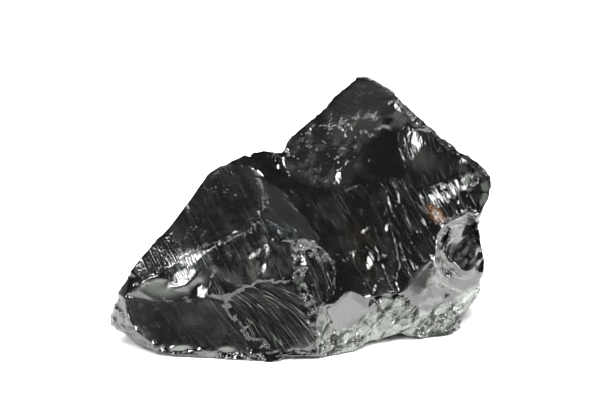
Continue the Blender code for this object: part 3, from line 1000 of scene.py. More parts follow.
@dataclass
class Fracture:
    """The lump's fracture surface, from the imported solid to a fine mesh."""

    solid: bpy.types.Object
    grain: float = 0.21 * MM
    crease_degrees: float = 13.0
    crease_band: float = 0.45 * MM
    crease_step: float = 0.3 * MM
    crease_hold: float = 0.92
    smoothings: int = 60
    smoothing: float = 0.5
    triangles: int = 192000
    creases: list[tuple[Vector, Vector]] = field(init=False)

    def fine_copy(self) -> bpy.types.Object:
        """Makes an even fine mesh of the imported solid.

        Returns:
            The new object.
        """
        shape = bmesh.new()
        shape.from_mesh(self.solid.data)
        bmesh.ops.remove_doubles(shape, verts=shape.verts, dist=1e-7)
        self.creases = [
            (edge.verts[0].co.copy(), edge.verts[1].co.copy())
            for edge in shape.edges
            if edge.calc_face_angle(0) > math.radians(self.crease_degrees)
        ]
        mesh = bpy.data.meshes.new("coal")
        shape.to_mesh(mesh)
        shape.free()
        lump = bpy.data.objects.new("coal_fracture", mesh)
        bpy.context.scene.collection.objects.link(lump)
        remesh = lump.modifiers.new("Even grain", "REMESH")
        remesh.mode = "VOXEL"
        remesh.voxel_size = self.grain
        applied(lump)
        return lump

    def crease_share(self, points: Points) -> np.ndarray:
        """Tells how near points lie to the solid's creases.

        Args:
            points: The points.

        Returns:
            Shares from 0 away from creases to 1 on them.
        """
        spots = []
        for start, end in self.creases:
            count = max(1, int((end - start).length / self.crease_step))
            spots += [start.lerp(end, i / count) for i in range(count + 1)]
        tree = KDTree(len(spots))
        for number, spot in enumerate(spots):
            tree.insert(spot, number)
        tree.balance()
        gaps = np.array([tree.find(point)[2] for point in points])
        return 1 - ease(gaps, self.crease_band * 0.4, self.crease_band * 1.4)

    def smooth(self, lump: bpy.types.Object) -> np.ndarray:
        """Evens out the hollows' flats, and keeps the creases.

        Args:
            lump: The fine mesh.

        Returns:
            How near each point lies to a crease.
        """
        mesh = lump.data
        points = read_points(mesh)
        creased = self.crease_share(points)
        edges = np.empty(len(mesh.edges) * 2, np.int64)
        mesh.edges.foreach_get("vertices", edges)
        first, second = edges.reshape(-1, 2).T
        count = len(points)
        near = np.bincount(first, minlength=count) + np.bincount(second, minlength=count)
        moves = (1 - self.crease_hold * creased)[:, None] * self.smoothing
        for _ in range(self.smoothings):
            total = np.empty_like(points)
            for axis in range(3):
                total[:, axis] = np.bincount(first, points[second, axis], count)
                total[:, axis] += np.bincount(second, points[first, axis], count)
            points += moves * (total / near[:, None] - points)
        write_points(mesh, points)
        return creased


def applied(thing: bpy.types.Object) -> None:
    """Turns an object's modifiers into its plain mesh.

    Args:
        thing: The object.
    """
    graph = bpy.context.evaluated_depsgraph_get()
    graph.update()
    made = bpy.data.meshes.new_from_object(thing.evaluated_get(graph))
    thing.modifiers.clear()
    old = thing.data
    thing.data = made
    bpy.data.meshes.remove(old)


def read_points(mesh: bpy.types.Mesh) -> Points:
    """Gives a mesh's points.

    Args:
        mesh: The mesh.

    Returns:
        Rows of three numbers.
    """
    points = np.empty(len(mesh.vertices) * 3)
    mesh.vertices.foreach_get("co", points)
    return points.reshape(-1, 3)


def write_points(mesh: bpy.types.Mesh, points: Points) -> None:
    """Puts points back into a mesh, none of them below the table.

    Args:
        mesh: The mesh.
        points: Rows of three numbers.
    """
    points[:, 2] = np.maximum(points[:, 2], 0)
    mesh.vertices.foreach_set("co", points.ravel())
    mesh.update()


def read_ways(mesh: bpy.types.Mesh) -> Points:
    """Gives the ways that a mesh's points face.

    Args:
        mesh: The mesh.

    Returns:
        Rows of three numbers.
    """
    ways = np.empty(len(mesh.vertices) * 3, np.float32)
    mesh.vertices.foreach_get("normal", ways)
    return ways.reshape(-1, 3).astype(float)


def write_layer(mesh: bpy.types.Mesh, name: str, values: np.ndarray) -> None:
    """Stores one number, or three, for each of a mesh's points.

    Args:
        mesh: The mesh.
        name: What the layer is called.
        values: The numbers.
    """
    kind, key = ("FLOAT", "value") if values.ndim == 1 else ("FLOAT_VECTOR", "vector")
    layer = mesh.attributes.new(name, kind, "POINT")
    layer.data.foreach_set(key, values.astype(np.float32).ravel())


# Ways that lines lie on the front.
FAN_LINES = Lines(apex=(196, 272), bend=0.2)
STAIR_LINES = Lines(run=(34, 60))
STREAK_LINES = Lines(run=(14, 30))
UNDER_BOWL_LINES = Lines(run=(16, 30))
BAND_LINES = Lines(run=(40, 48))
SWIRL_LINES = Lines(apex=(468, 250), rings=True)
LEDGE_LINES = Lines(run=(40, 18), bend=-0.2)

# Heights that are laid on the broad faces.
RELIEFS: list[Relief] = [
    Steps(STAIR_BAND, (34, 60), 11, 0.5, 21),
    Steps(UNDER_BOWL, (16, 30), 9, 0.25, 23),
    Ribs(BOWL, (398, 160), 6.5, 0.012, 31),
    Ribs(SCOOP, (300, 240), 5, 0.03, 33),
    Shards(UPPER_CRUMBS, 22, 0.12, 41, 1.4, 30),
    Shards(PEAK_CRUMBS, 9, 0.08, 42, 1.3, 20),
    Shards(RIGHT_CRUMBS, 5, 0.18, 43),
    Shards(RIGHT_END_FACE, 12, 0.12, 44),
    Shards(CREST, 8, 0.15, 45, 1.5, 80),
    Shards(SCOOP_TOP, 7, 0.15, 53),
    Shards(FRONT_CRUMBS, 18, 0.16, 46, 1.6, 35),
    Shards(WEDGES, 16, 0.14, 51, 1.4, 70),
    Shards(LEFT_FOOT, 7, 0.4, 47),
    Shards(UNDER_SHELL, 11, 0.09, 58, 1.7, 60),
    Shards(LOWER_RIM, 9, 0.2, 54),
    Shards(UNDER_BOWL, 12, 0.05, 48, 2, -50),
    Shards(BEHIND_CREST, 22, 0.07, 50, 2, -60),
    Shards(MIDDLE_FACE, 26, 0.06, 49, 2, -56),
    Swell(Cracks(FRONT_CRUMBS, 12, 55, 0.2, 1.8, 42), -0.6),
    Swell(Cracks(FRONT_CRUMBS, 5, 106, 0.24, 1.5, 50), -0.2),
    Swell(Cracks(WEDGES, 12, 56, 0.2, 1.6, 75), -0.5),
    Swell(Cracks(UPPER_CRUMBS, 18, 57, 0.1, 1.6, 20), -0.12),
]

# Broad faces, each with the azimuth and elevation of what it throws back to the eye.
FLATS: list[Facet] = [
    Facet(FACE_UPPER_LEFT, (-48, 62), 0.85),
    Facet(FACE_LOWER_LEFT, (-10, 26), 0.85),
    Facet(UNDER_BREAK, (-12, 40), 0.9),
    Facet(GREY_PATCH, (-12, 24), 0.8),
    Facet(BEHIND_CREST, (2, 33), 0.8),
    Facet(MIDDLE_FACE, (55, 50), 0.7),
    Facet(LEFT_FOLD, (12, 50), 0.85),
    Facet(FAN_FOLD, (-10, 42), 0.9),
    Facet(PEAK_FACE, (20, 32), 0.85),
    Facet(SMOOTH_SCOOP, (38, 40), 0.9),
    Facet(UPPER_CRUMBS, (32, 54), 0.8),
    Facet(BOWL, (58, 46), 0.8),
    Facet(STAIR_BAND, (46, 46), 0.7),
    Facet(SCOOP, (24, 42), 0.7),
    Facet(CREST, (14, 38), 0.7),
    Facet(Oval(337, 280, 10, 34, 0), (50, 52), 0.9),
    Facet(Oval(366, 152, 12, 20, 0), (38, 46), 0.9),
    Facet(RIGHT_CRUMBS, (48, 48), 0.7),
    Facet(LIGHT_BAND, (16, 62), 0.8),
    Facet(SHELL_DARK, (142, 26), 0.9),
    Facet(Oval(401, 286, 18, 13), (38, 44), 1.0),
    Facet(LENS_UPPER, (46, 21), 0.95),
    Facet(LENS_LOWER, (56, -16), 0.9),
    Facet(LENS_SHADE, (50, 30), 0.9),
    Facet(PALE_FACET, (40, -20), 0.9),
    Facet(WEDGES, (60, -8), 0.6),
    Facet(FRONT_CRUMBS, (60, -8), 0.6),
    Facet(PALE_FLAP, (90, -14), 0.9),
    Facet(LEFT_FOOT, (-100, -20), 0.7),
    Facet(Flecks(LEFT_FOOT, 4, 99, 0.5, 1.3, 50), (-95, 32), 0.9),
    Facet(LOWER_RIM, (-14, 34), 1.05),
    Facet(RIGHT_END_FACE, (125, 42), 1.1),
]

FAN_WISPS = Wisps(HACKLE_FAN, FAN_LINES, 3.6, 61, 0.34, 22, 0.4, 1.6)
BREAK_WISPS = Wisps(BREAK_STREAKS, STREAK_LINES, 3.6, 62, 0.45, 14, 0.5, 0.8)

# Small faces, turned last. A later one lies over an earlier one.
FACETS: list[Facet] = [
    Facet(BAND_EDGE, Lit.RIGHT_DIM, 0.5),
    Facet(FAN_WISPS, Lit.WALL, 0.6),
    Facet(BREAK_WISPS, Lit.KEY, 0.9),
    Facet(Wisps(STAIR_BAND, STAIR_LINES, 5.2, 63, 0.32, 32, 0.7, 0.5), Lit.RIGHT_WALL, 0.95),
    Facet(Oval(437, 192, 22, 3.5, -62), Lit.SIDE, 1.1),
    Facet(Oval(444, 190, 24, 3.5, -60), Lit.SIDE, 1.1),
    Facet(Oval(451, 187, 22, 4, -60), Lit.SIDE, 1.1),
    Facet(Oval(458, 187, 20, 3, -64), Lit.SIDE, 1.1),
    Facet(Oval(465, 184, 16, 3, -60), Lit.SIDE, 1.0),
    Facet(Wisps(UNDER_BOWL, UNDER_BOWL_LINES, 5, 64, 0.35, 14, 0.35, 0.6), Lit.RIGHT_WALL, 0.8),
    Facet(Wisps(SCOOP, Lines(run=(15, 40), bend=-0.3), 5, 65, 0.3, 22, 0.45, 0.6), Lit.DIM, 0.9),
    Facet(Wisps(BEHIND_CREST, STREAK_LINES, 6, 67, 0.34, 12, 0.35), Lit.WALL, 0.9),
    Facet(Wisps(UPPER_CRUMBS, LEDGE_LINES, 9, 69, 0.2, 16, 0.3), Lit.RIGHT_WALL, 0.9),
    Facet(Wisps(BOWL, Lines(run=(10, 30), bend=0.2), 5, 70, 0.3, 20, 0.3, 0.6), Lit.RIGHT_DIM, 0.8),
    Facet(Wisps(SHELL_RIM, SWIRL_LINES, 6, 77, 0.34, 20, 0.4), (152, 24), 0.8),
    Facet(Flecks(SHELL_EDGE, 5, 108, 0.35, 1.8, 80), (152, 26), 0.9),
    Facet(Flecks(SHELL_DARK, 5, 109, 0.22, 1.6, 70), (112, -10), 0.8),
    Facet(Wisps(UNDER_SHELL, STREAK_LINES, 5, 110, 0.28, 16, 0.35), (48, 28), 0.8),
    Facet(Flecks(UNDER_SHELL, 6, 115, 0.2, 1.6, 50), (48, 20), 0.8),
    Facet(Flecks(UPPER_CRUMBS, 6, 71, 0.2, 1.4, 30), Lit.RIGHT_DIM, 0.9),
    Facet(Flecks(UPPER_CRUMBS, 4, 72, 0.05), Lit.SIDE, 1.0),
    Facet(Flecks(PEAK_CRUMBS, 4, 73, 0.25), Lit.RIGHT_WALL, 0.9),
    Facet(Flecks(RIGHT_CRUMBS, 3.5, 116, 0.35, 1.3, 45), Lit.RIGHT_WALL, 0.9),
    Facet(Flecks(MIDDLE_FACE, 8, 74, 0.14, 1.6, -56), Lit.RIGHT_DIM, 0.8),
    Facet(Flecks(MIDDLE_FACE, 4, 89, 0.04, 1.4, -56), Lit.SIDE, 0.9),
    Facet(Flecks(BEHIND_CREST, 5, 78, 0.14, 1.5, -60), Lit.WALL, 0.8),
    Facet(Flecks(CREST, 4, 75, 0.4), Lit.WALL, 0.9),
    Facet(Flecks(CREST, 3, 90, 0.12), Lit.KEY, 0.9),
    Facet(Flecks(SCOOP_TOP, 3, 91, 0.45), Lit.WALL, 0.9),
    Facet(Flecks(SCOOP_TOP, 3, 118, 0.2), Lit.KEY, 0.8),
    Facet(Flecks(FRONT_CRUMBS, 6, 76, 0.2, 1.7, 42), (20, 48), 1.25),
    Facet(Cracks(WEDGES, 14, 56, 0.16, 1.6, 75), (20, 40), 0.9),
    Facet(Flecks(RIGHT_END_FACE, 9, 79, 0.3, 1.6, 60), (115, 4), 0.9),
    Facet(Oval(264, 220, 12, 28, 0), (4, 44), 0.9),
    Facet(Oval(181, 279, 32, 14, 30), Lit.KEY, 1.12),
    Facet(Oval(202, 291.5, 18, 9, -65), Lit.KEY, 1.15),
    Facet(Oval(417, 141, 20, 12, -25), Lit.SIDE, 1.1),
    Facet(Wisps(Oval(417, 141, 26, 18, -25), Lines(run=(8, 30)), 4, 102, 0.4, 9, 0.5), (60, 44), 0.8),
    Facet(Oval(370, 260, 8, 18, -12), Lit.SIDE),
    Facet(Flecks(Oval(366, 230, 13, 12), 3, 103, 0.55), Lit.SIDE, 1.25),
    Facet(Flecks(Oval(387, 226, 12, 14), 3, 104, 0.5), Lit.SIDE, 1.2),
    Facet(Oval(394, 260, 8, 10), Lit.RIGHT_DIM),
    Facet(Oval(402, 251, 3, 20, 20), Lit.SIDE),
    Facet(Oval(338, 176, 8, 14, 10), Lit.SIDE, 1.3),
    Facet(Oval(351, 188, 20, 4, 22), Lit.RIGHT_WALL),
    Facet(Oval(372, 160, 28, 3, -28), Lit.RIGHT_WALL),
    Facet(Oval(243, 165, 8, 8), (-20, 50), 0.9),
    Facet(Oval(403, 150, 28, 3, -61), Lit.RIGHT_WALL),
    Facet(Oval(440, 219, 16, 2.5, -58), Lit.SIDE, 0.8),
    Facet(Oval(322, 126, 20, 3, -18), Lit.RIGHT_WALL),
    Facet(Oval(298, 172, 4, 16, 24), Lit.RIGHT_WALL),
    Facet(Oval(188, 208, 4, 9), Lit.KEY),
    Facet(Oval(255, 253, 10, 5, 6), Lit.KEY, 1.25),
    Facet(Oval(266.5, 248, 4.5, 18, 12), (-45, 46), 1.4),
    Facet(Oval(264, 267, 3.5, 13, -8), (-45, 44), 1.1),
    Facet(Oval(465, 299, 28, 7, 41), Lit.SIDE, 1.1),
    Facet(Oval(180, 348, 17, 5, 5), Lit.TABLE),
    Facet(Oval(227, 349, 13, 4, -5), Lit.TABLE),
    Facet(Oval(211, 355, 9, 5), Lit.TABLE),
    Facet(Flecks(LOWER_RIM, 6, 107, 0.3, 1.5, 0), Lit.TABLE, 0.9),
]

# Looks of places. Where two of one look meet, the stronger one counts. Some dust marks are painted sheen,
# pale reflections and highlights put into the colour, and the blue marks are a painted blue sheen.
MARKS: list[Mark] = [
    Mark(UPPER_CRUMBS, Look.CRUMB, 0.32),
    Mark(Flecks(UPPER_CRUMBS, 12, 85, 0.3), Look.CRUMB, 0.5),
    Mark(PEAK_CRUMBS, Look.CRUMB, 0.5),
    Mark(RIGHT_CRUMBS, Look.CRUMB, 1.0),
    Mark(PEAK_FACE, Look.CRUMB, 0.2),
    Mark(RIGHT_END_FACE, Look.CRUMB, 0.2),
    Mark(CREST, Look.CRUMB, 0.7),
    Mark(SCOOP_TOP, Look.CRUMB, 0.9),
    Mark(FRONT_CRUMBS, Look.CRUMB, 0.2),
    Mark(LEFT_FOOT, Look.CRUMB, 0.9),
    Mark(LOWER_RIM, Look.CRUMB, 0.3),
    Mark(UNDER_BOWL, Look.CRUMB, 0.04),
    Mark(STAIR_BAND, Look.CRUMB, 0.06),
    Mark(BEHIND_CREST, Look.CRUMB, 0.07),
    Mark(UNDER_BREAK, Look.CRUMB, 0.12),
    # Painted reflection: a soft grey patch under the break, where a hollow's rim reflects something grey.
    Mark(Oval(160, 290, 32, 13, -8, 0.8), Look.DUST, 0.35),
    # Partly painted reflection: pale colour on the lower front crumbs stands in for the bright table they
    # reflect, mixed with real dust.
    Mark(Flecks(FRONT_CRUMBS, 9, 81, 0.35, 1.8, 40), Look.DUST, 1.0),
    Mark(Flecks(FRONT_CRUMBS, 4, 92, 0.4, 1.4, 40), Look.DUST, 0.7),
    Mark(FRONT_CRUMBS, Look.DUST, 0.22),
    Mark(WEDGES, Look.DUST, 0.3),
    Mark(LIGHT_BAND, Look.DUST, 0.04),
    Mark(UPPER_CRUMBS, Look.DUST, 0.02),
    Mark(Wisps(FACE_UPPER_LEFT, Lines(run=(16, 40)), 7, 93, 0.5, 22, 0.35), Look.DUST, 0.03),
    Mark(Wisps(MIDDLE_FACE, STAIR_LINES, 7, 94, 0.5, 22, 0.4), Look.DUST, 0.03),
    Mark(Wisps(FACE_LOWER_LEFT, STAIR_LINES, 8, 95, 0.5, 22, 0.4), Look.DUST, 0.03),
    Mark(Flecks(UPPER_CRUMBS, 5, 86, 0.3, 1.3, 30), Look.DUST, 0.09),
    Mark(Flecks(BEHIND_CREST, 5, 87, 0.35, 1.5, -60), Look.DUST, 0.06),
    Mark(Flecks(Oval(261, 264, 24, 24), 4, 105, 0.5), Look.DUST, 0.15),
    Mark(PEAK_CRUMBS, Look.DUST, 0.06),
    Mark(PEAK_FACE, Look.DUST, 0.045),
    Mark(RIGHT_CRUMBS, Look.DUST, 0.05),
    Mark(Flecks(CREST, 5, 97, 0.4), Look.DUST, 0.2),
    # Partly painted reflection: pale colour on the facet that faces the table, mixed with real dust.
    Mark(PALE_FACET, Look.DUST, 0.3),
    # Painted highlight: the pale flap is lightened in colour as well as turned towards the side lamp.
    Mark(PALE_FLAP, Look.DUST, 0.6),
    # Partly painted reflection: pale colour on the lens's lower part, which faces the table, mixed with real
    # dust.
    Mark(LENS_LOWER, Look.DUST, 0.1),
    Mark(UNDER_SHELL, Look.CRUMB, 0.3),
    Mark(Flecks(UNDER_SHELL, 5, 114, 0.3, 1.7, 50), Look.DUST, 0.4),
    Mark(Wisps(UNDER_SHELL, STREAK_LINES, 5, 111, 0.5, 22, 0.4), Look.DUST, 0.25),
    Mark(Wisps(LENS_STREAK, Lines(run=(9, 30)), 3.5, 113, 0.55, 22, 0.45), Look.DUST, 1.0),
    Mark(Flecks(SHELL_DARK, 4, 112, 0.3), Look.DUST, 0.2),
    Mark(Flecks(LEFT_FOOT, 5, 96, 0.5), Look.DUST, 0.12),
    Mark(Oval(180, 348, 17, 5, 5), Look.DUST, 0.5),
    Mark(Oval(227, 349, 13, 4, -5), Look.DUST, 0.4),
    Mark(Oval(211, 355, 9, 5), Look.DUST, 0.3),
    Mark(Wisps(SHELL_RIM, SWIRL_LINES, 5, 88, 0.5, 24, 0.5), Look.DUST, 0.6),
    Mark(Flecks(RIGHT_END_FACE, 9, 79, 0.4, 1.6, 60), Look.DUST, 0.3),
    # Painted reflection: a soft grey spot low on the lower left face.
    Mark(Oval(194, 321, 22, 16, -30, 0.7), Look.DUST, 0.06),
    # Painted sheen: a faint grey glow inside the bowl, beside its highlight.
    Mark(Oval(422, 160, 30, 20, -20, 0.8), Look.DUST, 0.07),
    Mark(Oval(436, 214, 23, 12, -50), Look.STAIN, 0.8),
    Mark(Flecks(Oval(362, 246, 60, 26, -65), 5, 117, 0.3, 1.6, -60), Look.STAIN, 0.05),
    # Painted blue sheen beside the highlights, standing in for a bluish reflection of the lamps.
    Mark(Oval(190, 262, 40, 24, 40), Look.BLUE, 0.6),
    Mark(Oval(432, 195, 20, 12, 0), Look.BLUE, 0.6),
    Mark(Oval(283, 229, 28, 12, 0), Look.BLUE, 0.5),
]

# Streaks of places, as bumps and as pale lines painted as highlights. A later one lies over an earlier one.
GRAINS: list[Grain] = [
    Grain(STAIR_BAND, STAIR_LINES, 0.4, 0.22),
    Grain(UNDER_BOWL, UNDER_BOWL_LINES, 0.6, 0.4),
    Grain(LIGHT_BAND, BAND_LINES, 0.3, 0.12),
    Grain(MIDDLE_FACE, Lines(run=(40, 60)), 0.25, 0.1),
    Grain(SCOOP, Lines(run=(15, 40)), 0.5, 0.3),
    Grain(BREAK_STREAKS, STREAK_LINES, 0.5, 0.45),
    Grain(BEHIND_CREST, STREAK_LINES, 0.3, 0.15),
    Grain(BOWL, Lines(run=(10, 30)), 0.15, 0.15),
    Grain(SHELL_RIM, SWIRL_LINES, 0.4, 0.6),
    Grain(LENS_UPPER, STAIR_LINES, 0.2),
    Grain(UNDER_BREAK, STREAK_LINES, 0.4, 0.35),
    Grain(FACE_LOWER_LEFT, Lines(run=(30, 40)), 0.12, 0.08),
    Grain(FACE_UPPER_LEFT, Lines(run=(20, 40)), 0.12, 0.05),
    Grain(HACKLE_FAN, FAN_LINES, 0.35, 0.5),
]


@dataclass
class Wiring:
    """Short ways to add nodes to a tree."""

    tree: bpy.types.NodeTree

    def add(self, kind: str) -> bpy.types.Node:
        """Adds a node of one kind."""
        return self.tree.nodes.new(kind)

    def link(self, start: object, end: Socket) -> None:
        """Joins a socket to an input, or sets the input to a plain value.

        Args:
            start: An output, a number, a colour or a vector.
            end: The input.
        """
        if isinstance(start, bpy.types.NodeSocket):
            self.tree.links.new(start, end)
        else:
            end.default_value = start

    def worked(self, kind: str, operation: str, first: object, second: object) -> Socket:
        """Works out two values with a node of one kind.

        Args:
            kind: Blender's name for the node.
            operation: Blender's name for the sum.
            first: A value or an output.
            second: A value or an output.

        Returns:
            The answer.
        """
        node = self.add(kind)
        node.operation = operation
        self.link(first, node.inputs[0])
        self.link(second, node.inputs[1])
        return node.outputs[0]

    def sum(self, operation: str, first: object, second: object) -> Socket:
        """Works out two numbers."""
        return self.worked("ShaderNodeMath", operation, first, second)

    def vector(self, operation: str, first: object, second: object) -> Socket:
        """Works out two vectors."""
        return self.worked("ShaderNodeVectorMath", operation, first, second)

    def layer(self, name: str, output: str = "Fac") -> Socket:
        """Reads one of the mesh's layers in a finish.

        Args:
            name: The layer's name.
            output: Which of the node's outputs to take.

        Returns:
            The layer's values.
        """
        node = self.add("ShaderNodeAttribute")
        node.attribute_name = name
        return node.outputs[output]

    def named(self, name: str) -> Socket:
        """Reads one of the mesh's layers in Geometry Nodes.

        Args:
            name: The layer's name.

        Returns:
            The layer's numbers.
        """
        node = self.add("GeometryNodeInputNamedAttribute")
        node.data_type = "FLOAT"
        node.inputs["Name"].default_value = name
        return next(socket for socket in node.outputs if socket.enabled and socket.name == "Attribute")

    def planes(self, place: Socket, size: object) -> Socket:
        """Gives a surface of small flat faces: two sets of bowls, one less the other.

        Args:
            place: Places on the lump.
            size: How wide a face is.

        Returns:
            Heights, as wide as the faces.
        """
        bowls = []
        for shift in (0.0, 0.37):
            cells = self.add("ShaderNodeTexVoronoi")
            self.link(self.sum("DIVIDE", 1.0, size), cells.inputs["Scale"])
            self.link(self.vector("ADD", place, (shift, shift, shift)), cells.inputs["Vector"])
            bowls.append(self.sum("POWER", cells.outputs["Distance"], 2.0))
        return self.sum("MULTIPLY", self.sum("SUBTRACT", *bowls), size)

    def stairs(self, place: Socket, size: object) -> Socket:
        """Gives uneven parallel stairs.

        Args:
            place: Places on the lump.
            size: How wide a stair is.

        Returns:
            Heights from 0 to 1.
        """
        waves = self.add("ShaderNodeTexWave")
        waves.bands_direction = "DIAGONAL"
        waves.wave_profile = "SAW"
        self.link(self.sum("DIVIDE", 0.3, size), waves.inputs["Scale"])
        for name, number in (("Distortion", 5.0), ("Detail", 2.0), ("Detail Scale", 0.4)):
            waves.inputs[name].default_value = number
        self.link(place, waves.inputs["Vector"])
        return waves.outputs["Fac"]

    def noise(self, place: Socket, scale: float, detail: float) -> Socket:
        """Adds soft noise.

        Args:
            place: Where to read it.
            scale: Swells for each unit of the place.
            detail: How many finer sizes it has.

        Returns:
            Numbers from 0 to 1.
        """
        node = self.add("ShaderNodeTexNoise")
        node.inputs["Scale"].default_value = scale
        node.inputs["Detail"].default_value = detail
        self.link(place, node.inputs["Vector"])
        return node.outputs["Fac"]

    def between(self, value: object, low: float, high: float, first: float = 0, last: float = 1) -> Socket:
        """Turns one range of numbers into another.

        Args:
            value: The number.
            low: Where the old range starts.
            high: Where it ends.
            first: Where the new range starts.
            last: Where it ends.

        Returns:
            The new number.
        """
        node = self.add("ShaderNodeMapRange")
        self.link(value, node.inputs["Value"])
        for name, number in (("From Min", low), ("From Max", high), ("To Min", first), ("To Max", last)):
            node.inputs[name].default_value = number
        return node.outputs["Result"]

    def blend(self, share: object, first: object, second: object) -> Socket:
        """Mixes two colours.

        Args:
            share: How much of the second.
            first: A colour or an output.
            second: A colour or an output.

        Returns:
            The mixed colour.
        """
        node = self.add("ShaderNodeMix")
        node.data_type = "RGBA"
        self.link(share, node.inputs["Factor"])
        sockets = [socket for socket in node.inputs if socket.type == "RGBA"]
        for socket, colour in zip(sockets, (first, second)):
            self.link(colour, socket)
        return next(socket for socket in node.outputs if socket.type == "RGBA")


@dataclass(frozen=True)
class FarSide:
    """Fracture relief by rule, made with Geometry Nodes: flat faces, stairs and chipped edges."""

    # How many swells a metre has in the noises that say where small faces and stairs are.
    PATCH_SCALE = 95
    ROW_SCALE = 60

    broad_size: float = 8.5 * MM
    broad_lean: float = 0.11
    small_size: float = 2.6 * MM
    small_lean: float = 0.2
    chip_size: float = 1.5 * MM
    chip_lean: float = 0.3
    stair_size: float = 1.7 * MM
    stair_height: float = 0.22 * MM
    seed: float = 7

    @property
    def inputs(self) -> dict[str, float]:
        """Gives the tree's sizes and seed, by the names of its inputs."""
        return {
            size.name.replace("_", " ").capitalize(): float(getattr(self, size.name)) for size in fields(self)
        }

    def tree(self) -> tuple[bpy.types.NodeTree, dict[str, str]]:
        """Makes the node tree.

        Returns:
            The tree, and its inputs' identifiers by name.
        """
        tree = bpy.data.node_groups.new("far side fracture", "GeometryNodeTree")
        for way in ("INPUT", "OUTPUT"):
            tree.interface.new_socket("Geometry", in_out=way, socket_type="NodeSocketGeometry")
        kinds = dict.fromkeys(self.inputs, "NodeSocketFloat") | {"Material": "NodeSocketMaterial"}
        names = {
            name: tree.interface.new_socket(name, in_out="INPUT", socket_type=kind).identifier
            for name, kind in kinds.items()
        }
        nodes = Wiring(tree)
        given = nodes.add("NodeGroupInput").outputs
        place = nodes.vector("ADD", nodes.add("GeometryNodeInputPosition").outputs[0], given["Seed"])
        patch = nodes.between(nodes.noise(place, self.PATCH_SCALE, 2), 0.4, 0.58)
        rows = nodes.between(nodes.noise(place, self.ROW_SCALE, 1), 0.5, 0.62)
        broad, small, chips = (
            nodes.sum("MULTIPLY", nodes.planes(place, given[f"{kind} size"]), given[f"{kind} lean"])
            for kind in ("Broad", "Small", "Chip")
        )
        small = nodes.sum("MULTIPLY", small, patch)
        stairs = nodes.sum("MULTIPLY", nodes.stairs(place, given["Stair size"]), given["Stair height"])
        stairs = nodes.sum("MULTIPLY", stairs, rows)
        far = nodes.sum("ADD", broad, nodes.sum("ADD", small, stairs))
        far = nodes.sum("MULTIPLY", far, nodes.named("far"))
        height = nodes.sum("ADD", far, nodes.sum("MULTIPLY", chips, nodes.named("creased")))
        shift = nodes.vector("MULTIPLY", nodes.add("GeometryNodeInputNormal").outputs[0], height)
        carved = nodes.add("GeometryNodeSetPosition")
        nodes.link(given["Geometry"], carved.inputs["Geometry"])
        nodes.link(shift, carved.inputs["Offset"])
        real = nodes.add("GeometryNodeRealizeInstances")
        nodes.link(carved.outputs[0], real.inputs[0])
        dressed = nodes.add("GeometryNodeSetMaterial")
        nodes.link(real.outputs[0], dressed.inputs["Geometry"])
        nodes.link(given["Material"], dressed.inputs["Material"])
        nodes.link(dressed.outputs[0], nodes.add("NodeGroupOutput").inputs[0])
        return tree, names

    def carve(self, lump: bpy.types.Object, material: bpy.types.Material) -> None:
        """Carves the lump.

        Args:
            lump: The fine mesh, with its far and creased layers.
            material: What the lump is made of.
        """
        tree, names = self.tree()
        carver = lump.modifiers.new("Far side", "NODES")
        carver.node_group = tree
        for name, value in (self.inputs | {"Material": material}).items():
            carver[names[name]] = value
        applied(lump)


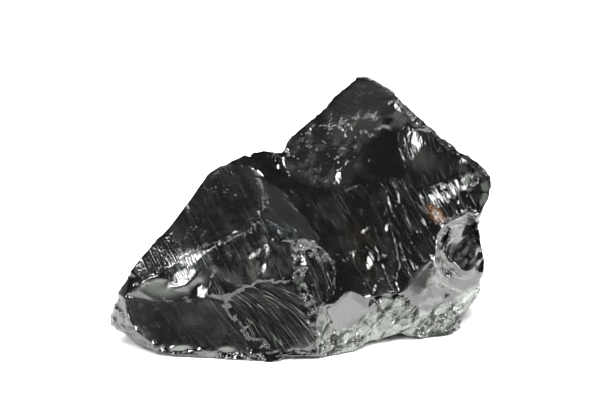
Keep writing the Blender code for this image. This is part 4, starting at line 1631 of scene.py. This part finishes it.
@dataclass(frozen=True)
class CoalFinish:
    """Jet-black glassy coal, with crumbs, dust and painted sheen, a stain, a painted blue sheen and fine
    streaks where its mesh layers say.
    """

    colour: Colour = (0.0028, 0.0028, 0.0025, 1)
    # The pale colour of dust and of painted sheen.
    dust: Colour = (0.195, 0.212, 0.192, 1)
    stain: Colour = (0.12, 0.055, 0.02, 1)
    # The tint of the painted blue sheen.
    blue: Colour = (0.006, 0.0085, 0.012, 1)
    roughness: float = 0.12
    dust_and_sheen_roughness: float = 0.42
    ior: float = 1.95
    speckle_scale: float = 1500
    haze_scale: float = 160
    haze: float = 0.045
    ripple_scale: float = 420
    ripple: float = 0.00001
    crumbs: tuple[tuple[float, float], ...] = ((0.7 * MM, 0.45), (0.34 * MM, 0.4))
    crumb_patch_scale: float = 520
    streak_length_scale: float = 90
    line_scale: float = 1100
    ridge_scale: float = 1500
    ridge_height: float = 0.0006

    def material(self) -> bpy.types.Material:
        """Makes the finish.

        Returns:
            The material.
        """
        made = bpy.data.materials.new("anthracite")
        made.use_nodes = True
        nodes = Wiring(made.node_tree)
        shader = made.node_tree.nodes["Principled BSDF"]
        shader.inputs["IOR"].default_value = self.ior
        place = nodes.add("ShaderNodeTexCoord").outputs["Object"]
        speckle = nodes.noise(place, self.speckle_scale, 3)
        haze = nodes.between(nodes.noise(place, self.haze_scale, 6), 0.5, 0.8, 0, self.haze)
        # Pale lines painted where the light layer says: painted highlights of glinting hackles.
        lines = nodes.sum("MULTIPLY", nodes.layer("light"), self.lines(nodes))
        # Dust and painted sheen, random haze and the painted highlight lines all lighten the colour the same
        # way.
        dust_sheen_and_glints = nodes.sum("ADD", nodes.layer("dust"), nodes.sum("ADD", haze, lines))
        dust = nodes.sum("MULTIPLY", dust_sheen_and_glints, nodes.between(speckle, 0.3, 0.7, 0.75, 1))
        stain = nodes.sum("MULTIPLY", nodes.layer("stain"), nodes.between(speckle, 0.4, 0.6, 0.2, 1))
        # The painted blue sheen first, then dust with painted sheen and painted highlight lines, then the
        # stain.
        colour = nodes.blend(nodes.layer("blue"), self.colour, self.blue)
        colour = nodes.blend(dust, colour, self.dust)
        colour = nodes.blend(stain, colour, self.stain)
        nodes.link(colour, shader.inputs["Base Color"])
        rough = nodes.between(nodes.sum("ADD", dust, stain), 0, 1, self.roughness, self.dust_and_sheen_roughness)
        nodes.link(rough, shader.inputs["Roughness"])
        crumbs = nodes.sum("MULTIPLY", nodes.layer("crumb"), self.shards(nodes, place))
        ridges = nodes.sum("MULTIPLY", nodes.layer("hackle"), self.ridges(nodes))
        ripple = nodes.sum("MULTIPLY", nodes.noise(place, self.ripple_scale, 4), self.ripple)
        height = nodes.sum("ADD", nodes.sum("ADD", crumbs, ridges), ripple)
        bump = nodes.add("ShaderNodeBump")
        bump.inputs["Distance"].default_value = 1.0
        nodes.link(height, bump.inputs["Height"])
        nodes.link(bump.outputs["Normal"], shader.inputs["Normal"])
        return made

    def shards(self, nodes: Wiring, place: Socket) -> Socket:
        """Adds small flat faces at two sizes, in patches.

        Args:
            nodes: The finish's nodes.
            place: Places on the lump.

        Returns:
            Heights in metres.
        """
        coarse, fine = (nodes.sum("MULTIPLY", nodes.planes(place, size), lean) for size, lean in self.crumbs)
        patches = nodes.between(nodes.noise(place, self.crumb_patch_scale, 2), 0.5, 0.64, 0.12, 1)
        return nodes.sum("MULTIPLY", nodes.sum("ADD", coarse, fine), patches)

    def squeezed(self, nodes: Wiring, scale: float) -> Socket:
        """Gives places along the mesh's grain, so fine across it that noise on them runs in long streaks."""
        return nodes.vector("MULTIPLY", nodes.layer("grain", "Vector"), (scale, self.streak_length_scale, 1))

    def lines(self, nodes: Wiring) -> Socket:
        """Adds fine broken pale lines along the mesh's grain, painted highlights of glinting hackles.

        Args:
            nodes: The finish's nodes.

        Returns:
            Shares from 0 beside the lines to 1 on them.
        """
        place = self.squeezed(nodes, self.line_scale)
        beside = nodes.sum("ABSOLUTE", nodes.sum("SUBTRACT", nodes.noise(place, 1, 1.5), 0.5), 0)
        broken = nodes.between(nodes.noise(place, 0.7, 1), 0.45, 0.6)
        return nodes.sum("MULTIPLY", nodes.between(beside, 0, 0.045, 1, 0), broken)

    def ridges(self, nodes: Wiring) -> Socket:
        """Adds fine long ridges along the mesh's grain, as heights in metres."""
        waves = nodes.noise(self.squeezed(nodes, self.ridge_scale), 1, 2)
        return nodes.sum("MULTIPLY", nodes.sum("PINGPONG", waves, 0.25), self.ridge_height)


@dataclass
class CoalLump:
    """The lump: its fracture surface, with relief on the front and on the far side."""

    solid: bpy.types.Object
    finish: CoalFinish
    front: Front = field(default_factory=Front)
    rule: FarSide = FarSide()
    front_slack: float = 0.8 * MM
    side_slack: float = 7 * MM
    raised_edge: tuple[float, float] = (0.05, 0.25)
    ruled_edge: tuple[float, float] = (-0.05, 0.12)
    marked_edge: tuple[float, float] = (-0.1, 0.1)
    sharp_degrees: float = 28.0
    patch_size: float = 9 * MM
    patch_seed: int = 71
    crumb: float = 0.08
    patch_crumb: float = 0.35
    patch_dust: float = 0.1
    far_hackle: float = 0.25
    # How much pale line is painted as highlights all over the far side.
    far_painted_glints: float = 0.12
    grain_reach: float = 0.3
    grain_edge: tuple[float, float] = (0.4, 1)

    def build(self) -> bpy.types.Object:
        """Makes the lump's piece.

        Returns:
            The finished object.
        """
        fracture = Fracture(self.solid)
        lump = fracture.fine_copy()
        log.info("fine copy: %d points", len(lump.data.vertices))
        creased = fracture.smooth(lump)
        self.carve_front(lump)
        material = self.finish.material()
        self.carve_all_round(lump, creased, material)
        self.thin_out(lump, fracture.triangles)
        self.mark(lump.data)
        self.dress(lump.data, material)
        return lump

    def carve_front(self, lump: bpy.types.Object) -> None:
        """Gives the front its relief.

        Args:
            lump: The fine mesh.
        """
        graph = bpy.context.evaluated_depsgraph_get()
        graph.update()
        self.front.look(BVHTree.FromObject(lump, graph))
        moves = self.front.solve(FLATS, RELIEFS, FACETS)
        points = read_points(lump.data)
        column, row, depth = VIEW.seen(points)
        sight = points - np.array(VIEW.eye)
        seen = self.front.seen(points, read_ways(lump.data), self.front_slack, *self.raised_edge)
        move = self.front.read(moves, column, row) * seen
        log.info("front moves from %.2f to %.2f mm", move.min() / MM, move.max() / MM)
        write_points(lump.data, points + sight / depth[:, None] * move[:, None])

    def carve_all_round(
        self, lump: bpy.types.Object, creased: np.ndarray, material: bpy.types.Material
    ) -> None:
        """Gives the far side and the edges their relief by rule.

        Args:
            lump: The fine mesh.
            creased: How near each point lies to a crease.
            material: What the lump is made of.
        """
        mesh = lump.data
        far = 1 - self.front.seen(read_points(mesh), read_ways(mesh), self.side_slack, *self.ruled_edge)
        write_layer(mesh, "far", far)
        write_layer(mesh, "creased", creased * far)
        self.rule.carve(lump, material)
        write_points(lump.data, read_points(lump.data))

    def thin_out(self, lump: bpy.types.Object, triangles: int) -> None:
        """Drops the mesh's points where the surface is even.

        Args:
            lump: The mesh.
            triangles: How many triangles are left.
        """
        lump.data.calc_loop_triangles()
        have = len(lump.data.loop_triangles)
        if have > triangles:
            thinner = lump.modifiers.new("Thinner", "DECIMATE")
            thinner.ratio = triangles / have
            thinner.use_collapse_triangulate = True
            applied(lump)
        log.info("lump: %d triangles, from %d", len(lump.data.polygons), have)

    def mark(self, mesh: bpy.types.Mesh) -> None:
        """Notes each point's looks and its place in the streaks, for the finish to use.

        Args:
            mesh: The lump's mesh.
        """
        points = read_points(mesh)
        column, row, _ = VIEW.seen(points)
        front = self.front.seen(points, read_ways(mesh), self.side_slack, *self.marked_edge)
        far = 1 - front
        across, up = points[:, 0] + 0.6 * points[:, 1], points[:, 2] - 0.5 * points[:, 1]
        patches = Chance.layered(across / self.patch_size, up / self.patch_size, self.patch_seed)
        patches = ease(patches, -0.1, 0.5)
        amounts = {look: np.zeros(len(points)) for look in Look}
        amounts[Look.CRUMB] = far * (self.crumb + self.patch_crumb * patches) + front * self.crumb
        amounts[Look.DUST] = far * self.patch_dust * patches
        for mark in MARKS:
            share = mark.where.share(column, row) * mark.amount * front
            amounts[mark.look] = np.maximum(amounts[mark.look], share)
        streaks = np.stack((across / VIEW.pixel, up / VIEW.pixel * 0.5, np.zeros(len(points))), 1)
        hackle = far * self.far_hackle
        light = far * self.far_painted_glints
        for grain in GRAINS:
            share = grain.where.share(column, row) * front
            places = np.stack((*grain.lines.place(column, row), np.ones(len(points))), 1)
            streaks = np.where(share[:, None] > self.grain_reach, places, streaks)
            share = ease(share, *self.grain_edge)
            hackle = np.maximum(hackle * (1 - share), share * grain.amount)
            light = np.maximum(light * (1 - share), share * grain.light)
        write_layer(mesh, "grain", streaks * VIEW.pixel)
        write_layer(mesh, "hackle", hackle)
        # The light layer holds how much pale line is painted as highlights.
        write_layer(mesh, "light", light)
        for look, values in amounts.items():
            write_layer(mesh, look.value, values)

    def dress(self, mesh: bpy.types.Mesh, material: bpy.types.Material) -> None:
        """Shades the mesh and gives it its finish.

        Args:
            mesh: The lump's mesh.
            material: What it is made of.
        """
        mesh.polygons.foreach_set("use_smooth", np.ones(len(mesh.polygons), bool))
        mesh.set_sharp_from_angle(angle=math.radians(self.sharp_degrees))
        mesh.materials.clear()
        mesh.materials.append(material)


@dataclass(frozen=True)
class SoftLamp:
    """A square area lamp that looks at the lump."""

    name: str
    azimuth: float
    elevation: float
    distance: float
    side: float
    watts: float
    glints: bool = True
    aim: tuple[float, float, float] = (0, 0, 0.03)

    def light(self) -> None:
        """Hangs the lamp."""
        lamp = bpy.data.lights.new(self.name, "AREA")
        lamp.shape = "RECTANGLE"
        lamp.size = lamp.size_y = self.side
        lamp.energy = self.watts
        hung = bpy.data.objects.new(self.name, lamp)
        way = Vector(direction(self.azimuth, self.elevation))
        hung.location = Vector(self.aim) + way * self.distance
        hung.rotation_euler = (-way).to_track_quat("-Z", "Y").to_euler()
        bpy.context.scene.collection.objects.link(hung)
        hung.visible_glossy = self.glints


@dataclass(frozen=True)
class Studio:
    """The table, the room's light, the lamps and the camera."""

    table_side: float = 6.0
    table_gap: float = 0.0001
    table_colour: Colour = (0.92, 0.92, 0.915, 1)
    table_roughness: float = 0.9
    lamps: tuple[SoftLamp, ...] = (
        SoftLamp("overhead", 0, 88, 1.6, 2.4, 110, glints=False),
        SoftLamp("key", -42, 36, 1.0, 0.28, 6.2),
        SoftLamp("side", 80, 22, 1.0, 0.27, 4.9),
    )
    glow: tuple[tuple[float, Colour], ...] = (
        (0.0, (2.3, 2.4, 2.25, 1)),
        (0.16, (1.0, 1.03, 0.98, 1)),
        (0.4, (0.03, 0.03, 0.03, 1)),
    )
    shown: Colour = (1, 1, 1, 1)
    dim_at: float = 0.6
    dimmed: float = 0.3
    sensor: float = 36
    near: float = 0.01

    def table(self) -> None:
        """Lays the table under the lump."""
        half = self.table_side / 2
        corners = ((-half, -half), (half, -half), (half, half), (-half, half))
        mesh = bpy.data.meshes.new("table")
        mesh.from_pydata([(x, y, -self.table_gap) for x, y in corners], [], [(0, 1, 2, 3)])
        made = bpy.data.materials.new("pale table")
        made.use_nodes = True
        shader = made.node_tree.nodes["Principled BSDF"]
        shader.inputs["Base Color"].default_value = self.table_colour
        shader.inputs["Roughness"].default_value = self.table_roughness
        mesh.materials.append(made)
        table = bpy.data.objects.new("table", mesh)
        bpy.context.scene.collection.objects.link(table)

    def room(self) -> None:
        """Lights the room: bright low down, dark above, dimmer at the back, and white to the camera."""
        world = bpy.data.worlds.new("room")
        bpy.context.scene.world = world
        world.use_nodes = True
        world.node_tree.nodes.clear()
        nodes = Wiring(world.node_tree)
        apart = nodes.add("ShaderNodeSeparateXYZ")
        nodes.link(nodes.add("ShaderNodeTexCoord").outputs["Generated"], apart.inputs["Vector"])
        ramp = nodes.add("ShaderNodeValToRGB")
        stops = ramp.color_ramp.elements
        for height, _ in self.glow[1:-1]:
            stops.new(height)
        for stop, (height, colour) in zip(stops, self.glow):
            stop.position = height
            stop.color = colour
        nodes.link(apart.outputs["Z"], ramp.inputs["Fac"])
        lit, shown = nodes.add("ShaderNodeBackground"), nodes.add("ShaderNodeBackground")
        nodes.link(ramp.outputs["Color"], lit.inputs["Color"])
        strength = nodes.between(apart.outputs["Y"], 0, self.dim_at, 1, self.dimmed)
        nodes.link(strength, lit.inputs["Strength"])
        nodes.link(self.shown, shown.inputs["Color"])
        mix = nodes.add("ShaderNodeMixShader")
        nodes.link(nodes.add("ShaderNodeLightPath").outputs["Is Camera Ray"], mix.inputs["Fac"])
        nodes.link(lit.outputs["Background"], mix.inputs[1])
        nodes.link(shown.outputs["Background"], mix.inputs[2])
        nodes.link(mix.outputs["Shader"], nodes.add("ShaderNodeOutputWorld").inputs["Surface"])

    def camera(self) -> None:
        """Sets the camera up at the reading view."""
        lens = bpy.data.cameras.new("camera")
        lens.sensor_width = self.sensor
        lens.lens = lens.sensor_width * VIEW.distance / (VIEW.columns * VIEW.pixel)
        lens.clip_start = self.near
        camera = bpy.data.objects.new("camera", lens)
        camera.location = VIEW.eye
        camera.rotation_euler = Vector(VIEW.axes[2]).to_track_quat("-Z", "Y").to_euler()
        bpy.context.scene.collection.objects.link(camera)
        bpy.context.scene.camera = camera

    def build(self) -> None:
        """Sets the whole studio up."""
        bpy.context.scene.view_settings.view_transform = "Standard"
        self.table()
        self.room()
        for lamp in self.lamps:
            lamp.light()
        self.camera()


def main() -> None:
    """Builds the scene."""
    logging.basicConfig(level=logging.INFO, format="%(name)s: %(message)s")
    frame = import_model()
    Studio().build()
    lump = CoalLump(frame["nodes"]["coal_lump"], CoalFinish()).build()
    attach(lump, "root")
    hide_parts("coal_lump")


if __name__ == "__main__":
    main()
